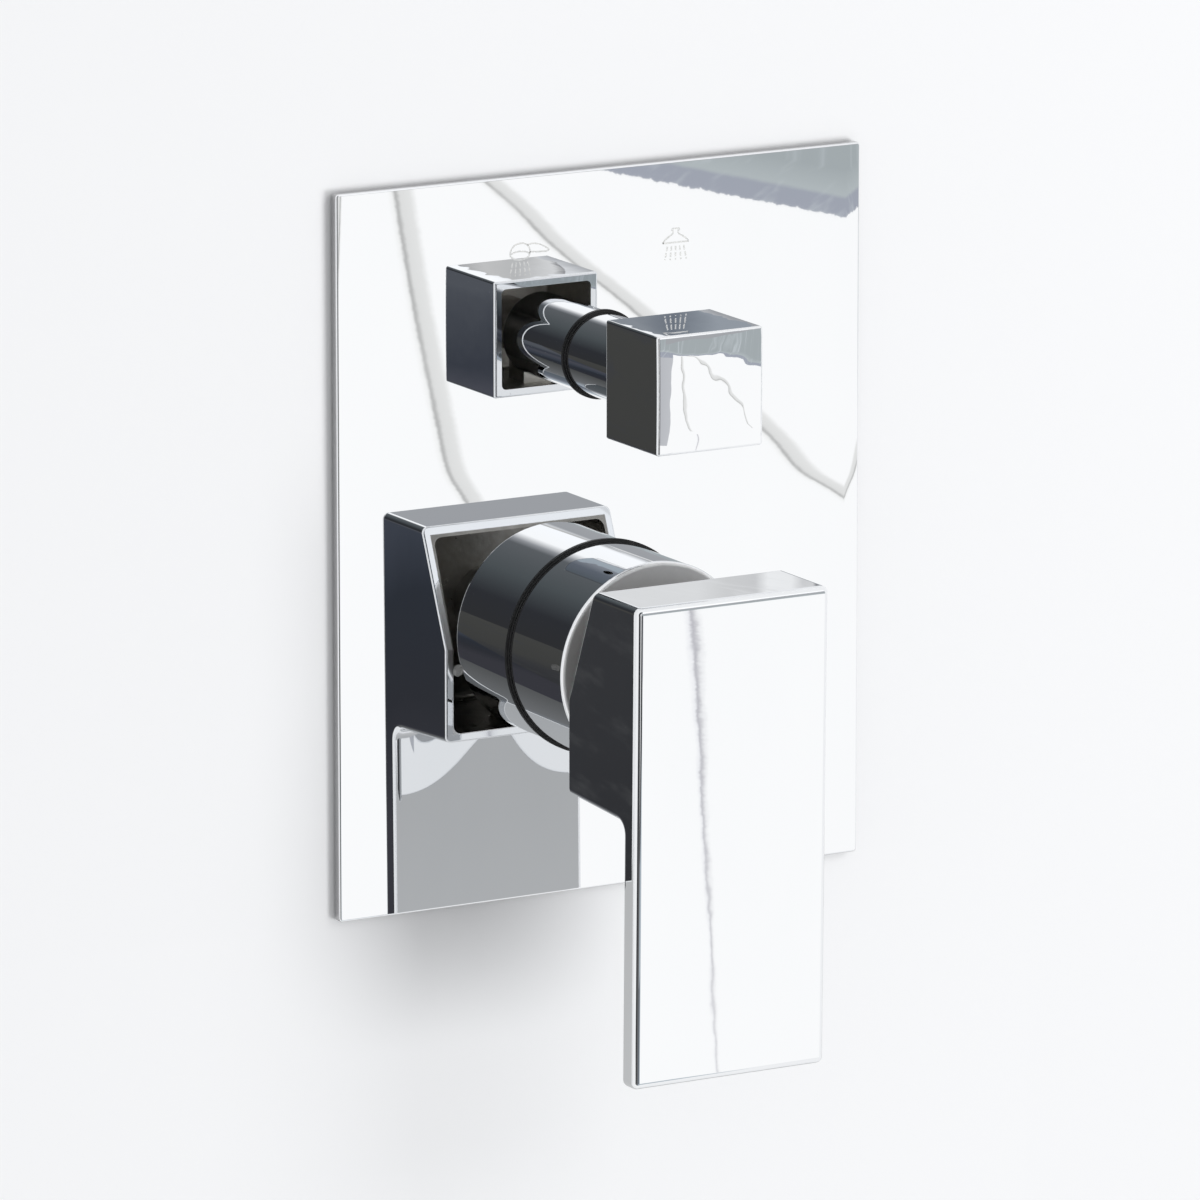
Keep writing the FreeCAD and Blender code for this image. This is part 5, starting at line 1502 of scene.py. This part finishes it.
@dataclass
class Studio:
    """Pale wall, soft lamps, and the cards that the chrome mirrors."""

    view: View
    wall_half: float = 4.0
    wall_place: float = -1.0 * MM
    wall_gap: float = 7.0 * MM
    wall_opening: int = 4
    card_reach: float = 1.8
    card_light: float = 1.10
    card_span: Span = (-0.145, 0.60)
    card_foot: float = -0.42
    top_spot: Span = (0.0201, 0.1526)
    top_slope: float = -0.193
    fringe: float = 0.34 * MM
    fringe_seed: int = 7
    fringe_steps: int = 3000
    fringe_waves: tuple[Point, ...] = ((0.4, 1270.0, 2.0), (0.5, 510.0, 0.0))
    sky_span: Span = (-0.8, 0.8)
    sky_rows: Point = (-0.02, 0.02, 0.85)
    sky_back: float = 0.02
    low_span: Span = (-0.36, -0.145)
    low_rise: Span = (-0.42, -0.075)
    low_back: float = 0.015
    dark_span: Span = (-1.2, -0.145)
    dark_rise: Span = (-0.9, 0.9)
    dark_back: float = 0.03
    fold_step: float = 0.01
    px_scale: float = 0.402537 * MM
    px_origin: Span = (-241.92 * MM, 225.19 * MM)
    ring_plane: float = -0.454
    ring_rise: float = 0.025
    ring_radii: Span = (0.17, 0.46)
    ring_light: float = 1.25
    air_colour: Colour = (0.985, 0.99, 1.0)
    ambient: float = 0.54
    backdrop: float = 1.0
    pieces: list[bpy.types.Object] = field(default_factory=list)

    def build(self) -> None:
        """Builds world, wall, cards and lamps."""
        self.world()
        self.wall()
        self.cards()
        self.folds()
        self.surround()
        self.lamps()

    def world(self) -> None:
        """Pale surroundings: white to the camera and in the metal, softer as light on matt things."""
        world = bpy.data.worlds.new("studio_air")
        bpy.context.scene.world = world
        world.use_nodes = True
        graph = Graph(world.node_tree)
        path = graph.add("ShaderNodeLightPath")
        seen = graph.wire(path, "Is Camera Ray")
        for name in ("Is Glossy Ray", "Is Transmission Ray"):
            seen = seen.largest(graph.wire(path, name))
        strength = self.ambient + seen * (self.backdrop - self.ambient)
        air = graph.add("ShaderNodeBackground", {}, {"Color": self.air_colour, "Strength": strength})
        graph.add("ShaderNodeOutputWorld", {}, {"Surface": air.outputs[0]})

    def sheet(self, name: str, corners: np.ndarray, material: Material,
              left_out: int | None = None) -> bpy.types.Object:
        """A flat grid through given corner rows, kept with the stage.

        Args:
            name: The object's name.
            corners: Points as rows by columns by 3.
            material: Its finish.
            left_out: Number of a face that is an opening.

        Returns:
            The object.
        """
        rows, columns = corners.shape[:2]
        faces = Shell.grid_faces(rows, columns, False, False)
        if left_out is not None:
            faces = np.delete(faces, left_out, axis=0)
        made = Shell(corners.reshape(-1, 3), faces).piece(name, material)
        across, down = np.meshgrid(np.linspace(0, 1, columns), np.linspace(0, 1, rows))
        spots = np.stack([across.ravel(), down.ravel()], axis=1)
        corner_points = np.empty(len(made.data.loops), int)
        made.data.loops.foreach_get("vertex_index", corner_points)
        made.data.uv_layers.new(name="across").data.foreach_set("uv", spots[corner_points].ravel())
        self.pieces.append(made)
        return made

    def wall(self) -> None:
        """The finished wall, three faces by three, with the middle one left out behind the plate."""
        half, gap = self.wall_half, self.wall_gap
        low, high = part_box("cover_plate")
        across = (-half, low.x + gap, high.x - gap, half)
        up = (-half, low.z + gap, high.z - gap, half)
        points = upright(across, self.wall_place, up)
        made = self.sheet("wall", points, WallPaint().build(), self.wall_opening)
        if made.data.polygons[0].normal.y > 0:
            made.data.flip_normals()

    def mirrored(self, name: str, points: np.ndarray, finish: LitCard) -> None:
        """A card that shows in the metal only, not to the camera and not as light on matt things.

        Args:
            name: The object's name.
            points: Points as rows by columns by 3.
            finish: Its tones.
        """
        made = self.sheet(name, points, finish.build())
        made.visible_camera = False
        made.visible_diffuse = False
        made.visible_shadow = False
        made.visible_volume_scatter = False

    def on_card(self, u: np.ndarray, v: np.ndarray, nearer: float = 0.0) -> np.ndarray:
        """Points of the plane that the plate mirrors to the camera.

        Args:
            u: Places across.
            v: Places up.
            nearer: Step from the plane towards the plate.

        Returns:
            The points, with a last axis of 3.
        """
        out = self.view.forward() * (1.0, -1.0, 1.0)
        across = np.array([math.cos(self.view.yaw), math.sin(self.view.yaw), 0.0])
        up = np.cross(out, across)
        up *= np.sign(up[2])
        low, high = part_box("cover_plate")
        middle = np.array([0.0, low.y, (low.z + high.z) / 2]) + out * (self.card_reach - nearer)
        return middle + u[..., None] * across + v[..., None] * up

    def card_top(self, u: np.ndarray) -> np.ndarray:
        """Height of the white card's top edge at places across."""
        return self.top_spot[1] + self.top_slope * (u - self.top_spot[0])

    def cards(self) -> None:
        """White card with a frayed top edge, blue-grey room above it and dark room at its left.

        The fray is seeded noise, smoothed over three steps, plus long sine waves along the edge.
        """
        u = np.linspace(*self.card_span, self.fringe_steps)
        draws = np.random.default_rng(self.fringe_seed).standard_normal(len(u))
        fray = np.convolve(draws, (0.25, 0.5, 0.25), "same")
        for size, pace, phase in self.fringe_waves:
            fray = fray + size * np.sin(u * pace + phase)
        top = self.card_top(u) + self.fringe * fray
        white = self.on_card(np.stack([u, u]), np.stack([np.full_like(u, self.card_foot), top]))
        self.mirrored("white_card", white, LitCard("card_light", PLAIN_WHITE, self.card_light))
        u, rise = np.meshgrid(np.linspace(*self.sky_span, 9), self.sky_rows)
        sky = self.on_card(u, self.card_top(u) + rise, -self.sky_back)
        self.mirrored("grey_room", sky, LitCard(
            "room_light", ROOM_TONES, way=Axis.Y, ragged=0.02, grain=(260.0, 40.0, 1.0),
            streak=(0.60, 0.645, 0.675), streak_grain=(130.0, 3.0, 1.0), streak_turn=0.045))
        low = self.on_card(*np.meshgrid(self.low_span, self.low_rise), -self.low_back)
        self.mirrored("low_card", low, LitCard("low_card_light", PLAIN_WHITE, self.card_light))
        dark = self.on_card(*np.meshgrid(self.dark_span, self.dark_rise), -self.dark_back)
        self.mirrored("dark_room", dark, LitCard("dark_room_light", DARK_ROOM_TONES))

    def folds(self) -> None:
        """The folds of the white card, as ribbons of seven columns just before it."""
        for fold in FOLDS:
            middle, down, left, right = (column[:, None] for column in smooth_path(fold.knots, 10).T)
            across = middle - left + np.linspace(0.0, 1.0, 7) * (left + right)
            u = across * self.px_scale + self.px_origin[0]
            v = np.broadcast_to(-down * self.px_scale + self.px_origin[1], u.shape)
            self.mirrored(fold.name, self.on_card(u, v, self.fold_step), LitCard(
                fold.name + "_light", fold.tones, self.card_light, ragged=fold.ragged, grain=fold.grain,
                fade=fold.fade))

    def surround(self) -> None:
        """A ring of tones before the plate that the round sleeves mirror, and the panels.

        The ring's tones stand at angles, and it is open where the white card shows.
        """
        first, last = RING_TONES[0][0], RING_TONES[-1][0]
        angle = np.radians(np.linspace(first, last, 120))
        radius = np.linspace(*self.ring_radii, 6)[:, None]
        x = radius * np.cos(angle)
        z = self.ring_rise + radius * np.sin(angle)
        tones = tuple(((a - first) / (last - first), tuple(t / self.ring_light for t in tone))
                      for a, tone in RING_TONES)
        ring = np.stack([x, np.full_like(x, self.ring_plane), z], axis=-1)
        self.mirrored("surround", ring, LitCard("surround_light", tones, self.ring_light))
        for panel in PANELS:
            self.mirrored(panel.name, upright(panel.across, panel.plane, panel.up), panel.finish)

    def lamps(self) -> None:
        """Soft key at front right, a weaker window above it, and two lamps behind the wall."""
        for lamp in LAMPS:
            data = bpy.data.lights.new(lamp.name, "AREA")
            data.shape = "DISK"
            data.size = lamp.size
            data.energy = lamp.power
            made = bpy.data.objects.new(lamp.name, data)
            made.location = lamp.place
            made.rotation_euler = (-Vector(lamp.place)).to_track_quat("-Z", "Y").to_euler()
            made.visible_glossy = False
            made.visible_camera = False
            bpy.context.scene.collection.objects.link(made)


def main() -> None:
    """Builds the sub-assemblies, the studio and the camera in order."""
    logging.basicConfig(level=logging.INFO, format="%(name)s: %(message)s")
    for part in (CoverPlate(), LeverTrim(), DiverterTrim(), WaterWorks()):
        LOG.info("building %s", type(part).__name__)
        part.build()
    view = View()
    Studio(view).build()
    view.build()
    bpy.context.scene.view_settings.view_transform = "Standard"


if __name__ == "__main__":
    main()
